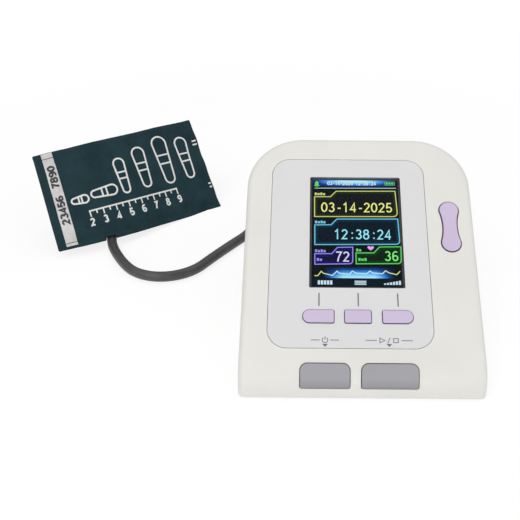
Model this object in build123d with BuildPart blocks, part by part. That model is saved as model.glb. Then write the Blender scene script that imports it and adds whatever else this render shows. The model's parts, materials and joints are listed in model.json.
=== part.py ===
from build123d import *
import os
from math import atan2, cos, radians, sin, sqrt, tan

# Desktop blood pressure monitor for animals, with its wrapped cuff and air hose.
# Millimetres, +Z up, +X to the right of the user, +Y away from the user.
# The origin is on the table, in the middle of the footprint of monitor and cuff.

os.makedirs("parts", exist_ok=True)

# Driving dimensions of the housing
unit_x = 67.9
unit_y = -43.58
unit_width = 111.7
unit_depth = 130.0
foot_height = 0.9
foot_radius = 5.0
foot_recess = 0.8
foot_places = ((-44.0, -52.0), (44.0, -52.0), (-44.0, 36.0), (44.0, 36.0))
wall = 2.6
rim_radius = 3.0
face_slope = 32.5
face_foot_y = -55.5
face_foot_z = 17.4
face_length = 117.7
face_corner_radius = 28.0
nose_radius = 16.1
nose_start = -2.4
parting_front_z = 2.8
parting_rear_z = 36.0
boss_radius = 4.0
boss_places = ((-48.0, -36.0, 9.0), (48.0, -36.0, 9.0), (-44.0, 52.0, 31.0), (44.0, 52.0, 31.0))
screw_radius = 1.2
screw_head_radius = 2.5
screw_head_height = 1.8
screw_length = 10.0
screw_seat = 3.0

# Driving dimensions of the face panel and the display
panel_centre = (-5.3, 53.9)
panel_width = 75.8
panel_height = 100.6
panel_thickness = 1.2
panel_corner_radius = 9.0
panel_groove = 0.25
window_centre = (-1.8, 63.55)
window_width = 45.0
window_height = 60.7
window_gap = 0.05
module_centre = (-1.8, 64.0)
module_width = 50.2
module_height = 69.2
module_thickness = 2.2
module_depth = 2.9
tray_wall = 1.2
tray_floor = 2.4
ribbon_width = 20.0
ribbon_thickness = 0.4

# Driving dimensions of the keys
key_proud = 0.6
key_gap = 0.25
key_edge = 0.4
flange_reach = 1.1
flange_thickness = 0.9
flange_play = 0.1
stem_radius = 1.8
press_play = 0.1
soft_key_height = 6.4
soft_key_v = 18.75
soft_key_travel = 0.7
round_end = 3.15
square_end = 0.8
soft_keys = {
    "soft_key_left": (-19.95, 14.4, round_end, square_end),
    "soft_key_middle": (-1.75, 12.3, square_end, square_end),
    "soft_key_right": (16.55, 14.1, square_end, round_end),
}
rocker_centre = (44.0, 66.1)
lobe_radius = 4.7
lobe_offset = 8.95
waist_half = 3.4
rocker_gap = 0.4
rocker_body = 1.2
rocker_lug_height = 2.2
rocker_pivot_depth = 4.4
rocker_stem = 1.8
rocker_stem_offset = 9.0
pin_radius = 1.0
pin_length = 11.2
ear_width = 1.5
chin_key_angle = 33.5
chin_key_height = 11.1
chin_key_travel = 0.8
chin_key_cap = 2.0
chin_key_low = -3.5
chin_keys = {"power_key": (-16.9, 22.3), "start_key": (12.15, 25.5)}

# Driving dimensions of the boards behind the face
board_thickness = 1.6
board_depth = 11.9
board_size = (80.0, 94.0)
board_centre = (-3.0, 54.0)
board_posts = ((-38.0, 13.0), (33.0, 13.0), (-38.0, 90.0), (33.0, 90.0))
post_radius = 2.6
board_screw_radius = 0.9
board_screw_head = 1.9
board_screw_length = 5.5
side_board_depth = 8.6
side_board_size = (8.6, 42.0)
side_board_posts = (-18.6, 18.6)
chin_board_depth = 7.4
chin_board_thickness = 1.2
chin_board_width = 66.0
chin_board_rise = (-2.6, 8.6)
chin_board_posts = (-31.5, 29.5)
chin_post_rise = 5.0
switch_side = 5.0
switch_height = 2.0
side_switch_height = 1.7
chin_switch_height = 1.1
plunger_radius = 1.6
plunger_height = 0.7

# Driving dimensions of the battery bay
cell_radius = 7.15
cell_length = 49.5
cell_nub = (2.7, 1.0)
cell_pitch = 15.2
cell_count = 4
cell_first_y = -2.8
cell_z = 11.4
bay_half_x = 29.0
bay_y = (-11.0, 51.0)
bay_wall = 1.6
bay_roof_z = 20.2
door_half_x = 32.0
door_front_y = -14.0
door_rear_y = 63.0
door_plate = 0.9
door_thickness = 1.8
door_tongue = 1.0
door_play = 0.1
track_pad_z = 5.4

# Driving dimensions of the air system inside the housing
air_x = -16.2
air_z = 26.0
manifold_y = 11.0
manifold_size = (12.0, 8.0, 8.8)
nipple_radius = 1.0
nipple_length = 5.0
tube_radius = 1.9
valve_size = (20.0, 14.0, 12.0)
valve_x = 14.0
pump_y = 36.0
pump_z = 34.0
motor_radius = 10.0
motor_x = (0.0, 24.0)
head_radius = 12.5
head_x = (-14.0, 0.0)
sensor_u = -38.0
sensor_size = (10.0, 4.0)

# Driving dimensions of the sockets
socket_flange = (6.0, 1.2)
socket_body_radius = 4.4
socket_depth = 9.0
socket_bore = 2.05
power_jack_place = (20.0, 15.0)
data_port_place = (36.0, 15.0)
probe_place = (28.0, 14.0)
probe_size = (25.0, 11.0)

# Driving dimensions of the air plug and the hose
hose_radius = 2.9
plug_nose_radius = 2.0
plug_nose_length = 8.0
plug_radius = 4.6
plug_tail_radius = 3.5
plug_length = 14.0

# Driving dimensions of the cuff
cuff_corner = (-172.7, 61.2)
cuff_turn = 34.5
cuff_lean = 33.1
flap_length = 105.0
flap_height = 59.4
flap_thickness = 2.0
flap_corner = 1.5
flap_play = 0.3
flap_hinge = 101.0
root_depth = 5.0
loop_left = 12.0
loop_height = 45.0
loop_back = (40.0, 39.5)
loop_wall = 2.4
left_fold = 4.0
right_fold = 1.0
back_folds = (17.0, 2.8)
patch_thickness = 0.5
patch_rise = (12.0, 48.0)
hook_patch_span = (18.0, 40.0)
loop_patch_span = (18.0, 70.0)
strip_span = (4.9, 11.6)
strip_thickness = 0.4
bladder_span = (24.0, 94.0)
bladder_thickness = 1.2
mouth_place = 31.85
mouth_half = 3.8
mouth_spread = 7.4
mouth_height = 7.0
port_turn = 25.0
port_radius = 3.3
port_reach = (3.3, 10.5)
neck_shift = 2.6
neck_width = 9.0
neck_foot = 4.0

slope = radians(face_slope)
chin = radians(chin_key_angle)
lean = radians(cuff_lean)
turn = radians(cuff_turn)
port_way = turn - radians(port_turn)
port_out = (sin(port_way), -cos(port_way), 0)
port_side = (cos(port_way), sin(port_way), 0)
front_y = -unit_depth / 2
rear_y = unit_depth / 2
nose_y = face_foot_y + nose_start * cos(slope) + nose_radius * sin(slope)
nose_z = face_foot_z + nose_start * sin(slope) - nose_radius * cos(slope)
parting_slope = atan2(parting_rear_z - parting_front_z, unit_depth)
flange_depth = wall + flange_play
soft_switch_top = board_depth - switch_height - plunger_height
chin_switch_top = chin_board_depth - chin_switch_height - plunger_height


def at(x, y, z):
    """Point of the monitor, counted from the middle of its own footprint."""
    return Vector(unit_x + x, unit_y + y, z)


def level(z, x=0.0, y=0.0):
    """Level plane of the monitor at the height z."""
    return Plane(origin=at(x, y, z), x_dir=(1, 0, 0), z_dir=(0, 0, 1))


def on_face(u, v, depth=0.0):
    """Plane on the sloping face: u to the right, v up the slope, depth below the surface."""
    y = face_foot_y + v * cos(slope) + depth * sin(slope)
    z = face_foot_z + v * sin(slope) - depth * cos(slope)
    return Plane(origin=at(u, y, z), x_dir=(1, 0, 0), z_dir=(0, -sin(slope), cos(slope)))


def on_chin(u, v=0.0, depth=0.0):
    """Plane across the rounded front edge, square to the way that its keys are pressed."""
    out = nose_radius - depth
    y = nose_y - out * cos(chin) + v * sin(chin)
    z = nose_z + out * sin(chin) + v * cos(chin)
    return Plane(origin=at(u, y, z), x_dir=(1, 0, 0), z_dir=(0, -cos(chin), sin(chin)))


def on_rear(x, z, inside=0.0):
    """Plane on the rear wall, facing backwards, inside by a distance."""
    return Plane(origin=at(x, rear_y - inside, z), x_dir=(-1, 0, 0), z_dir=(0, 1, 0))


def on_left(y, z, inside=0.0):
    """Plane on the left wall, facing left, inside by a distance."""
    return Plane(origin=at(-unit_width / 2 + inside, y, z), x_dir=(0, -1, 0), z_dir=(-1, 0, 0))


def facing_right(x, y, z):
    """Plane that faces right, with its own x backwards and its own y upwards."""
    return Plane(origin=at(x, y, z), x_dir=(0, 1, 0), z_dir=(1, 0, 0))


def cuff_point(s, d, z):
    """Point of the cuff: s along its lower edge, d backwards from that edge, z up."""
    x = cuff_corner[0] + s * cos(turn) - d * sin(turn)
    y = cuff_corner[1] + s * sin(turn) + d * cos(turn)
    return at(x, y, z)


def port_point(reach, z):
    """Point on the line that the hose takes into the cuff, reach behind the cuff's front edge."""
    return cuff_point(mouth_place, 0, z) - Vector(*port_out) * reach


def on_flap(s, t, depth=0.0):
    """Plane on the leaning front of the cuff: s along it, t up it, depth below its surface."""
    d = t * sin(lean) + depth * cos(lean)
    z = t * cos(lean) - depth * sin(lean)
    out = (sin(turn) * cos(lean), -cos(turn) * cos(lean), sin(lean))
    return Plane(origin=cuff_point(s, d, z), x_dir=(cos(turn), sin(turn), 0), z_dir=out)


parting_plane = Plane(
    origin=at(0, front_y, parting_front_z),
    x_dir=(1, 0, 0),
    z_dir=(0, -sin(parting_slope), cos(parting_slope)),
)
face_axis = Axis((0, 0, 0), (0, -sin(slope), cos(slope)))
chin_axis = Axis((0, 0, 0), (0, -cos(chin), sin(chin)))


def save(piece, name):
    """Names a finished piece and writes it."""
    piece.label = name
    export_step(piece, f"parts/{name}.step")


def housing_form(inset):
    """Wedge of the housing with a rounded front edge, every side moved inwards by inset."""
    radius = nose_radius - inset
    rear = rear_y - inset
    floor_z = foot_height + inset
    half = unit_width / 2 - inset
    front = (nose_y - sqrt(radius**2 - (floor_z - nose_z) ** 2), floor_z)
    middle = radians(90 - face_slope) / 2
    bend = (nose_y - radius * cos(middle), nose_z + radius * sin(middle))
    start = (nose_y - radius * sin(slope), nose_z + radius * cos(slope))
    top = (rear, start[1] + (rear - start[0]) * tan(slope))
    outline_length = 2 * unit_depth
    with BuildPart() as form:
        with BuildSketch(facing_right(0, 0, 0)):
            with BuildLine():
                ThreePointArc(front, bend, start)
                Polyline(start, top, (rear, floor_z), front)
            make_face()
        extrude(amount=half, both=True)
        with BuildSketch(on_face(0, face_length - inset - outline_length / 2)) as outline:
            Rectangle(2 * half, outline_length)
            fillet(outline.vertices().group_by(Axis.Y)[-1], face_corner_radius - inset)
        extrude(amount=unit_depth, both=True, mode=Mode.INTERSECT)
    return form.part


def nose_band(outer, inner):
    """Full-width band concentric with the rounded front edge, between two radii."""
    with BuildPart() as band:
        with BuildSketch(facing_right(0, nose_y, nose_z)):
            Circle(outer)
            Circle(inner, mode=Mode.SUBTRACT)
        extrude(amount=unit_width / 2, both=True)
    return band.part


def soft_key_outline(width, left_radius, right_radius, grow=0.0):
    """Outline of a soft key, grown all round by grow."""
    with BuildSketch() as outline:
        Rectangle(width + 2 * grow, soft_key_height + 2 * grow)
        fillet(outline.vertices().group_by(Axis.X)[0], left_radius + grow)
        fillet(outline.vertices().group_by(Axis.X)[-1], right_radius + grow)
    return outline.sketch


def rocker_outline(grow=0.0):
    """Outline of the rocker: two round lobes joined by a hollow waist, grown by grow."""
    hollow = (waist_half**2 + lobe_offset**2 - lobe_radius**2) / (2 * (lobe_radius - waist_half))
    reach = lobe_radius + hollow
    lobe = lobe_radius + grow
    x = lobe * (waist_half + hollow) / reach
    y = lobe_offset - lobe * lobe_offset / reach
    tip = lobe_offset + lobe
    waist = waist_half + grow
    with BuildSketch() as outline:
        with BuildLine():
            ThreePointArc((x, y), (0, tip), (-x, y))
            ThreePointArc((-x, y), (-waist, 0), (-x, -y))
            ThreePointArc((-x, -y), (0, -tip), (x, -y))
            ThreePointArc((x, -y), (waist, 0), (x, y))
        make_face()
    return outline.sketch


def chin_key_outline(width, grow=0.0):
    """Outline of a key on the front edge, with rounder corners at the top."""
    with BuildSketch() as outline:
        Rectangle(width + 2 * grow, chin_key_height + 2 * grow)
        fillet(outline.vertices().group_by(Axis.Y)[-1], 3.2 + grow)
        fillet(outline.vertices().group_by(Axis.Y)[0], square_end + grow)
    return outline.sketch


# Housing skin, shared by the cover and the base
cavity = housing_form(wall)
pillar_limit = housing_form(wall / 2)
with BuildPart() as skin:
    add(housing_form(0.0))
    under_edges = skin.faces().sort_by(Axis.Z)[0].edges()
    fillet(skin.edges() - under_edges, rim_radius)

# Pillars of the cover, one over each screw
with BuildPart() as pillars:
    for x, y, z in boss_places:
        with BuildSketch(level(z, x, y)):
            Circle(boss_radius)
        extrude(amount=unit_depth)
    add(pillar_limit, mode=Mode.INTERSECT)

# Front cover: the sloping face, the sides and the back above the parting line
with BuildPart() as front_cover:
    add(skin.part)
    add(cavity, mode=Mode.SUBTRACT)
    split(bisect_by=parting_plane, keep=Keep.TOP)
    add(pillars.part)
    for x, y, z in boss_places:
        with BuildSketch(level(z, x, y)):
            Circle(screw_radius)
        extrude(amount=screw_length, mode=Mode.SUBTRACT)
    with BuildSketch(on_face(0, 0, board_depth)):
        with Locations(*board_posts):
            Circle(post_radius)
    extrude(amount=board_depth - wall * 0.8)
    with BuildSketch(on_face(0, 0, board_depth)):
        with Locations(*board_posts):
            Circle(board_screw_radius)
    extrude(amount=board_screw_length, mode=Mode.SUBTRACT)
    with BuildSketch(on_face(*rocker_centre, side_board_depth)):
        with Locations(*((0, v) for v in side_board_posts)):
            Circle(post_radius - 0.4)
    extrude(amount=side_board_depth - wall / 2)
    with BuildSketch(on_face(*rocker_centre, side_board_depth)):
        with Locations(*((0, v) for v in side_board_posts)):
            Circle(board_screw_radius)
    extrude(amount=board_screw_length - 1, mode=Mode.SUBTRACT)
    with BuildSketch(on_chin(0, chin_post_rise, chin_board_depth)):
        with Locations(*((u, 0) for u in chin_board_posts)):
            Circle(post_radius - 0.6)
    extrude(amount=chin_board_depth - wall)
    with BuildSketch(on_chin(0, chin_post_rise, chin_board_depth)):
        with Locations(*((u, 0) for u in chin_board_posts)):
            Circle(board_screw_radius)
    extrude(amount=board_screw_length - 2, mode=Mode.SUBTRACT)
    with BuildSketch(on_face(*panel_centre)):
        RectangleRounded(
            panel_width + 2 * panel_groove,
            panel_height + 2 * panel_groove,
            panel_corner_radius + panel_groove,
        )
    extrude(amount=-panel_thickness, mode=Mode.SUBTRACT)
    with BuildSketch(on_face(*window_centre)):
        RectangleRounded(window_width + 1.6, window_height + 1.6, square_end)
    extrude(amount=-wall - 0.5, mode=Mode.SUBTRACT)
    for u, width, left_radius, right_radius in soft_keys.values():
        with BuildSketch(on_face(u, soft_key_v)):
            add(soft_key_outline(width, left_radius, right_radius, key_gap))
        extrude(amount=-wall - 0.5, mode=Mode.SUBTRACT)
    for u, width in chin_keys.values():
        with BuildSketch(on_chin(u, 0, nose_radius / 2)):
            add(chin_key_outline(width, key_gap))
        extrude(amount=nose_radius, mode=Mode.SUBTRACT)
    with BuildSketch(on_face(*rocker_centre)):
        add(rocker_outline(rocker_gap))
    extrude(amount=-wall - 0.5, mode=Mode.SUBTRACT)
    ear_x = waist_half + rocker_gap + 0.4 + ear_width / 2
    with BuildSketch(on_face(*rocker_centre, rocker_pivot_depth + 2)):
        with Locations((-ear_x, 0), (ear_x, 0)):
            Rectangle(ear_width, 4.4)
    extrude(amount=rocker_pivot_depth + 2 - wall * 0.8)
    pivot = on_face(*rocker_centre, rocker_pivot_depth)
    with BuildSketch(Plane(origin=pivot.origin, x_dir=pivot.y_dir, z_dir=pivot.x_dir)):
        Circle(pin_radius)
    extrude(amount=pin_length / 2, both=True, mode=Mode.SUBTRACT)
save(front_cover.part, "front_cover")

# Base shell: the floor and the lower walls, with the battery bay and the screw bosses
bay_width = 2 * bay_half_x
bay_length = bay_y[1] - bay_y[0]
bay_middle = (bay_y[0] + bay_y[1]) / 2
pad_front = door_front_y - 3
pad_rear = rear_y - wall
with BuildPart() as base_shell:
    add(skin.part)
    add(cavity, mode=Mode.SUBTRACT)
    split(bisect_by=parting_plane, keep=Keep.BOTTOM)
    for x, y, z in boss_places:
        with BuildSketch(level(foot_height + 1, x, y)):
            Circle(boss_radius)
        extrude(amount=z - foot_height - 1)
    with BuildSketch(level(foot_height + 1, 0, (pad_front + pad_rear) / 2)):
        Rectangle(2 * door_half_x + 6, pad_rear - pad_front)
    extrude(amount=track_pad_z - foot_height - 1)
    with BuildSketch(level(foot_height + 1, 0, bay_middle)):
        Rectangle(bay_width + 2 * bay_wall, bay_length + 2 * bay_wall)
    extrude(amount=bay_roof_z - foot_height - 1)
    with BuildSketch(level(foot_height, 0, bay_middle)):
        Rectangle(bay_width, bay_length)
    extrude(amount=bay_roof_z - bay_wall - foot_height, mode=Mode.SUBTRACT)
    track_middle = (door_front_y - door_play + rear_y + 5) / 2
    track_length = rear_y + 5 - door_front_y + door_play
    with BuildSketch(level(foot_height, 0, track_middle)):
        Rectangle(2 * (door_half_x + door_play), track_length)
    extrude(amount=door_thickness + door_play, mode=Mode.SUBTRACT)
    with BuildSketch(level(foot_height + door_plate, 0, track_middle)):
        Rectangle(2 * (door_half_x + door_tongue + door_play), track_length)
    extrude(amount=door_thickness + door_play - door_plate, mode=Mode.SUBTRACT)
    for x, y, z in boss_places:
        with BuildSketch(level(foot_height, x, y)):
            Circle(screw_head_radius + 0.2)
        extrude(amount=z - screw_seat - foot_height, mode=Mode.SUBTRACT)
        with BuildSketch(level(foot_height, x, y)):
            Circle(screw_radius + 0.3)
        extrude(amount=z - foot_height, mode=Mode.SUBTRACT)
    with BuildSketch(level(foot_height)):
        with Locations(*foot_places):
            Circle(foot_radius)
    extrude(amount=foot_recess, mode=Mode.SUBTRACT)
    with BuildSketch(on_rear(air_x, air_z)):
        Circle(socket_body_radius)
    extrude(amount=-wall - 1, mode=Mode.SUBTRACT)
    with BuildSketch(on_rear(*power_jack_place)):
        Circle(4.5)
    extrude(amount=-wall - 1, mode=Mode.SUBTRACT)
    with BuildSketch(on_rear(*data_port_place)):
        RectangleRounded(8.6, 4.6, 0.8)
    extrude(amount=-wall - 1, mode=Mode.SUBTRACT)
    with BuildSketch(on_left(*probe_place)):
        RectangleRounded(*probe_size, 3)
    extrude(amount=-wall - 1, mode=Mode.SUBTRACT)
save(base_shell.part, "base_shell")

# Rubber feet
for number, (x, y) in enumerate(foot_places, start=1):
    with BuildPart() as foot:
        with BuildSketch(level(0, x, y)):
            Circle(foot_radius - 0.05)
        extrude(amount=foot_height + foot_recess)
        chamfer(foot.edges().group_by(Axis.Z)[0], 0.4)
    save(foot.part, f"foot_{number}")

# Screws that hold the base to the cover
with BuildPart() as case_screws:
    for x, y, z in boss_places:
        with BuildSketch(level(z - screw_seat - screw_head_height, x, y)):
            Circle(screw_head_radius)
        extrude(amount=screw_head_height)
        with BuildSketch(level(z - screw_seat, x, y)):
            Circle(screw_radius)
        extrude(amount=screw_seat + screw_length - 2)
        with BuildSketch(level(z - screw_seat - screw_head_height, x, y)):
            Rectangle(2.8, 0.6)
            Rectangle(0.6, 2.8)
        extrude(amount=1, mode=Mode.SUBTRACT)
save(case_screws.part, "case_screws")

# Face panel: the thin plate let into the face, with the openings of window and soft keys
with BuildPart() as face_panel:
    with BuildSketch(on_face(*panel_centre, panel_thickness)):
        RectangleRounded(panel_width, panel_height, panel_corner_radius)
    extrude(amount=panel_thickness)
    with BuildSketch(on_face(*window_centre)):
        RectangleRounded(window_width + 2 * window_gap, window_height + 2 * window_gap, square_end)
    extrude(amount=-panel_thickness, mode=Mode.SUBTRACT)
    for u, width, left_radius, right_radius in soft_keys.values():
        with BuildSketch(on_face(u, soft_key_v)):
            add(soft_key_outline(width, left_radius, right_radius, key_gap))
        extrude(amount=-panel_thickness, mode=Mode.SUBTRACT)
save(face_panel.part, "face_panel")

# Display window: the clear plate over the display
with BuildPart() as display_window:
    with BuildSketch(on_face(*window_centre, panel_thickness)):
        RectangleRounded(window_width, window_height, square_end)
    extrude(amount=panel_thickness)
save(display_window.part, "display_window")

# Display glass, and the tray that carries it on the board
with BuildPart() as display_glass:
    with BuildSketch(on_face(*module_centre, module_depth + module_thickness)):
        Rectangle(module_width, module_height)
    extrude(amount=module_thickness)
save(display_glass.part, "display_glass")

with BuildPart() as display_tray:
    with BuildSketch(on_face(*module_centre, module_depth + module_thickness + tray_floor)):
        Rectangle(module_width + 2 * tray_wall, module_height + 2 * tray_wall)
    extrude(amount=module_thickness + tray_floor)
    with BuildSketch(on_face(*module_centre, module_depth)):
        Rectangle(module_width, module_height)
    extrude(amount=-module_thickness, mode=Mode.SUBTRACT)
    leg_gap = board_depth - module_depth - module_thickness - tray_floor
    with BuildSketch(on_face(*module_centre, board_depth)):
        with GridLocations(module_width - 4, module_height - 4, 2, 2):
            Circle(1.5)
    extrude(amount=leg_gap)
save(display_tray.part, "display_tray")

# Flat ribbon from the display's lower edge to the board
ribbon_v = module_centre[1] - module_height / 2 - tray_wall - ribbon_thickness / 2
with BuildPart() as display_ribbon:
    with BuildSketch(on_face(module_centre[0], ribbon_v, board_depth)):
        Rectangle(ribbon_width, ribbon_thickness)
    extrude(amount=board_depth - module_depth - module_thickness)
save(display_ribbon.part, "display_ribbon")

# Main board behind the display
with BuildPart() as main_board:
    with BuildSketch(on_face(*board_centre, board_depth)) as board_outline:
        Rectangle(*board_size)
        fillet(board_outline.vertices().group_by(Axis.Y)[-1], 12)
        fillet(board_outline.vertices().group_by(Axis.Y)[0], 2)
    extrude(amount=-board_thickness)
    with BuildSketch(on_face(0, 0, board_depth)):
        with Locations(*board_posts):
            Circle(board_screw_radius + 0.2)
    extrude(amount=-board_thickness, mode=Mode.SUBTRACT)
save(main_board.part, "main_board")

# Side board under the rocker
with BuildPart() as side_board:
    with BuildSketch(on_face(*rocker_centre, side_board_depth)):
        RectangleRounded(*side_board_size, 1)
    extrude(amount=-board_thickness)
    with BuildSketch(on_face(*rocker_centre, side_board_depth)):
        with Locations(*((0, v) for v in side_board_posts)):
            Circle(board_screw_radius + 0.2)
    extrude(amount=-board_thickness, mode=Mode.SUBTRACT)
save(side_board.part, "side_board")

# Chin board under the two front keys
chin_board_height = chin_board_rise[1] - chin_board_rise[0]
chin_board_middle = (chin_board_rise[0] + chin_board_rise[1]) / 2
with BuildPart() as chin_board:
    with BuildSketch(on_chin(-1, chin_board_middle, chin_board_depth)):
        RectangleRounded(chin_board_width, chin_board_height, 1)
    extrude(amount=-chin_board_thickness)
    with BuildSketch(on_chin(0, chin_post_rise, chin_board_depth)):
        with Locations(*((u, 0) for u in chin_board_posts)):
            Circle(board_screw_radius + 0.2)
    extrude(amount=-board_thickness, mode=Mode.SUBTRACT)
save(chin_board.part, "chin_board")


def push_switch(place, height):
    """One push switch standing on the plane of its board."""
    with BuildPart() as switch:
        with BuildSketch(place):
            Rectangle(switch_side, switch_side)
        extrude(amount=height)
        with BuildSketch(place):
            Circle(plunger_radius)
        extrude(amount=height + plunger_height)
    return switch.part


# Push switches on the three boards
with BuildPart() as soft_switches:
    for u, width, left_radius, right_radius in soft_keys.values():
        add(push_switch(on_face(u, soft_key_v, board_depth), switch_height))
save(soft_switches.part, "soft_switches")

rocker_u, rocker_v = rocker_centre
with BuildPart() as rocker_switches:
    for side in (-1, 1):
        place = on_face(rocker_u, rocker_v + side * rocker_stem_offset, side_board_depth)
        add(push_switch(place, side_switch_height))
save(rocker_switches.part, "rocker_switches")

with BuildPart() as chin_switches:
    for u, width in chin_keys.values():
        add(push_switch(on_chin(u, 0, chin_board_depth), chin_switch_height))
save(chin_switches.part, "chin_switches")


def board_screw(place, length):
    """One small screw through a board, its head behind the plane."""
    with BuildPart() as screw:
        with BuildSketch(place):
            Circle(board_screw_head)
        extrude(amount=-1.2)
        with BuildSketch(place):
            Circle(board_screw_radius)
        extrude(amount=length)
    return screw.part


# Small screws that hold the three boards
with BuildPart() as board_screws:
    for u, v in board_posts:
        add(board_screw(on_face(u, v, board_depth + board_thickness), board_screw_length))
    for v in side_board_posts:
        place = on_face(rocker_u, rocker_v + v, side_board_depth + board_thickness)
        add(board_screw(place, board_screw_length - 1))
    for u in chin_board_posts:
        place = on_chin(u, chin_post_rise, chin_board_depth + chin_board_thickness)
        add(board_screw(place, board_screw_length - 2))
save(board_screws.part, "board_screws")

# Soft keys under the display
for name, (u, width, left_radius, right_radius) in soft_keys.items():
    with BuildPart() as soft_key:
        with BuildSketch(on_face(u, soft_key_v, flange_depth)):
            add(soft_key_outline(width, left_radius, right_radius))
        extrude(amount=flange_depth + key_proud)
        fillet(soft_key.faces().sort_by(face_axis)[-1].edges(), key_edge)
        with BuildSketch(on_face(u, soft_key_v, flange_depth)):
            add(soft_key_outline(width, left_radius, right_radius, flange_reach))
        extrude(amount=-flange_thickness)
        with BuildSketch(on_face(u, soft_key_v, flange_depth)):
            Circle(stem_radius)
        stem_end = soft_switch_top - soft_key_travel - press_play
        extrude(amount=flange_depth - stem_end)
    save(soft_key.part, name)

def chin_core(u, width, low, high, outer, inner):
    """Curved block behind a front key, from low to high above the key's middle."""
    with BuildPart() as core:
        with BuildSketch(on_chin(u, 0, nose_radius / 2)):
            with Locations((0, (low + high) / 2)):
                Rectangle(width, high - low)
        extrude(amount=nose_radius)
        add(nose_band(outer, inner), mode=Mode.INTERSECT)
    return core.part


# Front keys: power and start, curved like the front edge, held on three sides by a flange
flange_outer = nose_radius - flange_depth
flange_inner = flange_outer - flange_thickness
half_height = chin_key_height / 2
for name, (u, width) in chin_keys.items():
    with BuildPart() as chin_key:
        with BuildSketch(on_chin(u, 0, nose_radius / 2)):
            add(chin_key_outline(width))
        extrude(amount=nose_radius)
        add(nose_band(nose_radius + key_proud, nose_radius - chin_key_cap), mode=Mode.INTERSECT)
        fillet(chin_key.faces().sort_by(chin_axis)[-1].edges(), key_edge)
        add(chin_core(u, width - 1, chin_key_low, half_height - 1.5, nose_radius - 1, flange_inner))
        flange_width = width + 2 * flange_reach
        flange_high = half_height + flange_reach
        add(chin_core(u, flange_width, chin_key_low, flange_high, flange_outer, flange_inner))
        with BuildSketch(on_chin(u, 0, chin_switch_top - chin_key_travel - press_play)):
            Circle(stem_radius)
        extrude(amount=chin_switch_top - chin_key_travel - press_play - 2)
    save(chin_key.part, name)

# Rocker on the right of the face, and the pin that it tilts on
with BuildPart() as rocker_key:
    with BuildSketch(on_face(*rocker_centre, wall + rocker_body)):
        add(rocker_outline())
    extrude(amount=wall + rocker_body + key_proud)
    fillet(rocker_key.faces().sort_by(face_axis)[-1].edges(), 0.5)
    with BuildSketch(on_face(*rocker_centre, wall + rocker_body)):
        Rectangle(2 * waist_half, 4.4)
    extrude(amount=-rocker_lug_height)
    with BuildSketch(on_face(*rocker_centre, wall + rocker_body)):
        with Locations((0, -rocker_stem_offset), (0, rocker_stem_offset)):
            Circle(stem_radius)
    extrude(amount=-rocker_stem)
    with BuildSketch(Plane(origin=pivot.origin, x_dir=pivot.y_dir, z_dir=pivot.x_dir)):
        Circle(pin_radius + 0.05)
    extrude(amount=pin_length, both=True, mode=Mode.SUBTRACT)
save(rocker_key.part, "rocker_key")

with BuildPart() as rocker_pin:
    with BuildSketch(Plane(origin=pivot.origin, x_dir=pivot.y_dir, z_dir=pivot.x_dir)):
        Circle(pin_radius)
    extrude(amount=pin_length / 2, both=True)
save(rocker_pin.part, "rocker_pin")

# Battery door, which slides out backwards under the housing
door_middle = (door_front_y + door_rear_y) / 2
door_length = door_rear_y - door_front_y
with BuildPart() as battery_door:
    with BuildSketch(level(foot_height, 0, door_middle)):
        Rectangle(2 * door_half_x, door_length)
    extrude(amount=door_thickness)
    with BuildSketch(level(foot_height + door_plate + door_play, 0, door_middle)):
        Rectangle(2 * (door_half_x + door_tongue), door_length)
    extrude(amount=door_thickness - door_plate - door_play)
    with BuildSketch(level(foot_height, 0, door_rear_y - 16)):
        SlotOverall(30, 9)
    extrude(amount=0.5, mode=Mode.SUBTRACT)
    with BuildSketch(level(foot_height, 0, door_rear_y - 16)):
        with GridLocations(3.2, 1, 7, 1):
            Rectangle(1.0, 5)
    extrude(amount=0.5)
save(battery_door.part, "battery_door")

# Battery cells, lying across the bay, every other one turned round
cell_ends = []
for number in range(1, cell_count + 1):
    y = cell_first_y + (number - 1) * cell_pitch
    way = 1 if number % 2 else -1
    cell_ends.append((y, way))
    with BuildPart() as battery_cell:
        with BuildSketch(facing_right(-way * cell_length / 2, y, cell_z)):
            Circle(cell_radius)
        extrude(amount=way * cell_length)
        with BuildSketch(facing_right(way * cell_length / 2, y, cell_z)):
            Circle(cell_nub[0])
        extrude(amount=way * cell_nub[1])
        rim = battery_cell.edges().filter_by(GeomType.CIRCLE)
        fillet(rim.filter_by(lambda edge: edge.radius > cell_radius - 0.1), 0.6)
    save(battery_cell.part, f"battery_cell_{number}")

# Contact springs at the flat ends of the cells, and flat contacts at the other ends
spring_room = bay_half_x - cell_length / 2 - 0.4
with BuildPart() as contact_springs:
    for y, way in cell_ends:
        with BuildSketch(facing_right(-way * cell_length / 2, y, cell_z)):
            Circle(2.4)
        with BuildSketch(facing_right(-way * (bay_half_x - 0.4), y, cell_z)):
            Circle(3.6)
        loft()
save(contact_springs.part, "contact_springs")

with BuildPart() as contact_plates:
    for y, way in cell_ends:
        with BuildSketch(facing_right(-way * bay_half_x, y, cell_z)):
            Rectangle(10, 9)
        extrude(amount=way * 0.4)
        with BuildSketch(facing_right(way * bay_half_x, y, cell_z)):
            Rectangle(10, 9)
        extrude(amount=-way * (bay_half_x - cell_length / 2 - cell_nub[1]))
save(contact_plates.part, "contact_plates")

# Pump: motor and head on one axis, lying on a moulded foam cradle
with BuildPart() as pump_motor:
    with BuildSketch(facing_right(motor_x[0], pump_y, pump_z)):
        Circle(motor_radius)
    extrude(amount=motor_x[1] - motor_x[0])
    with BuildSketch(facing_right(motor_x[1], pump_y, pump_z)):
        Circle(3)
    extrude(amount=2)
    chamfer(pump_motor.faces().sort_by(Axis.X)[-2].outer_wire().edges(), 0.8)
save(pump_motor.part, "pump_motor")

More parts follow.
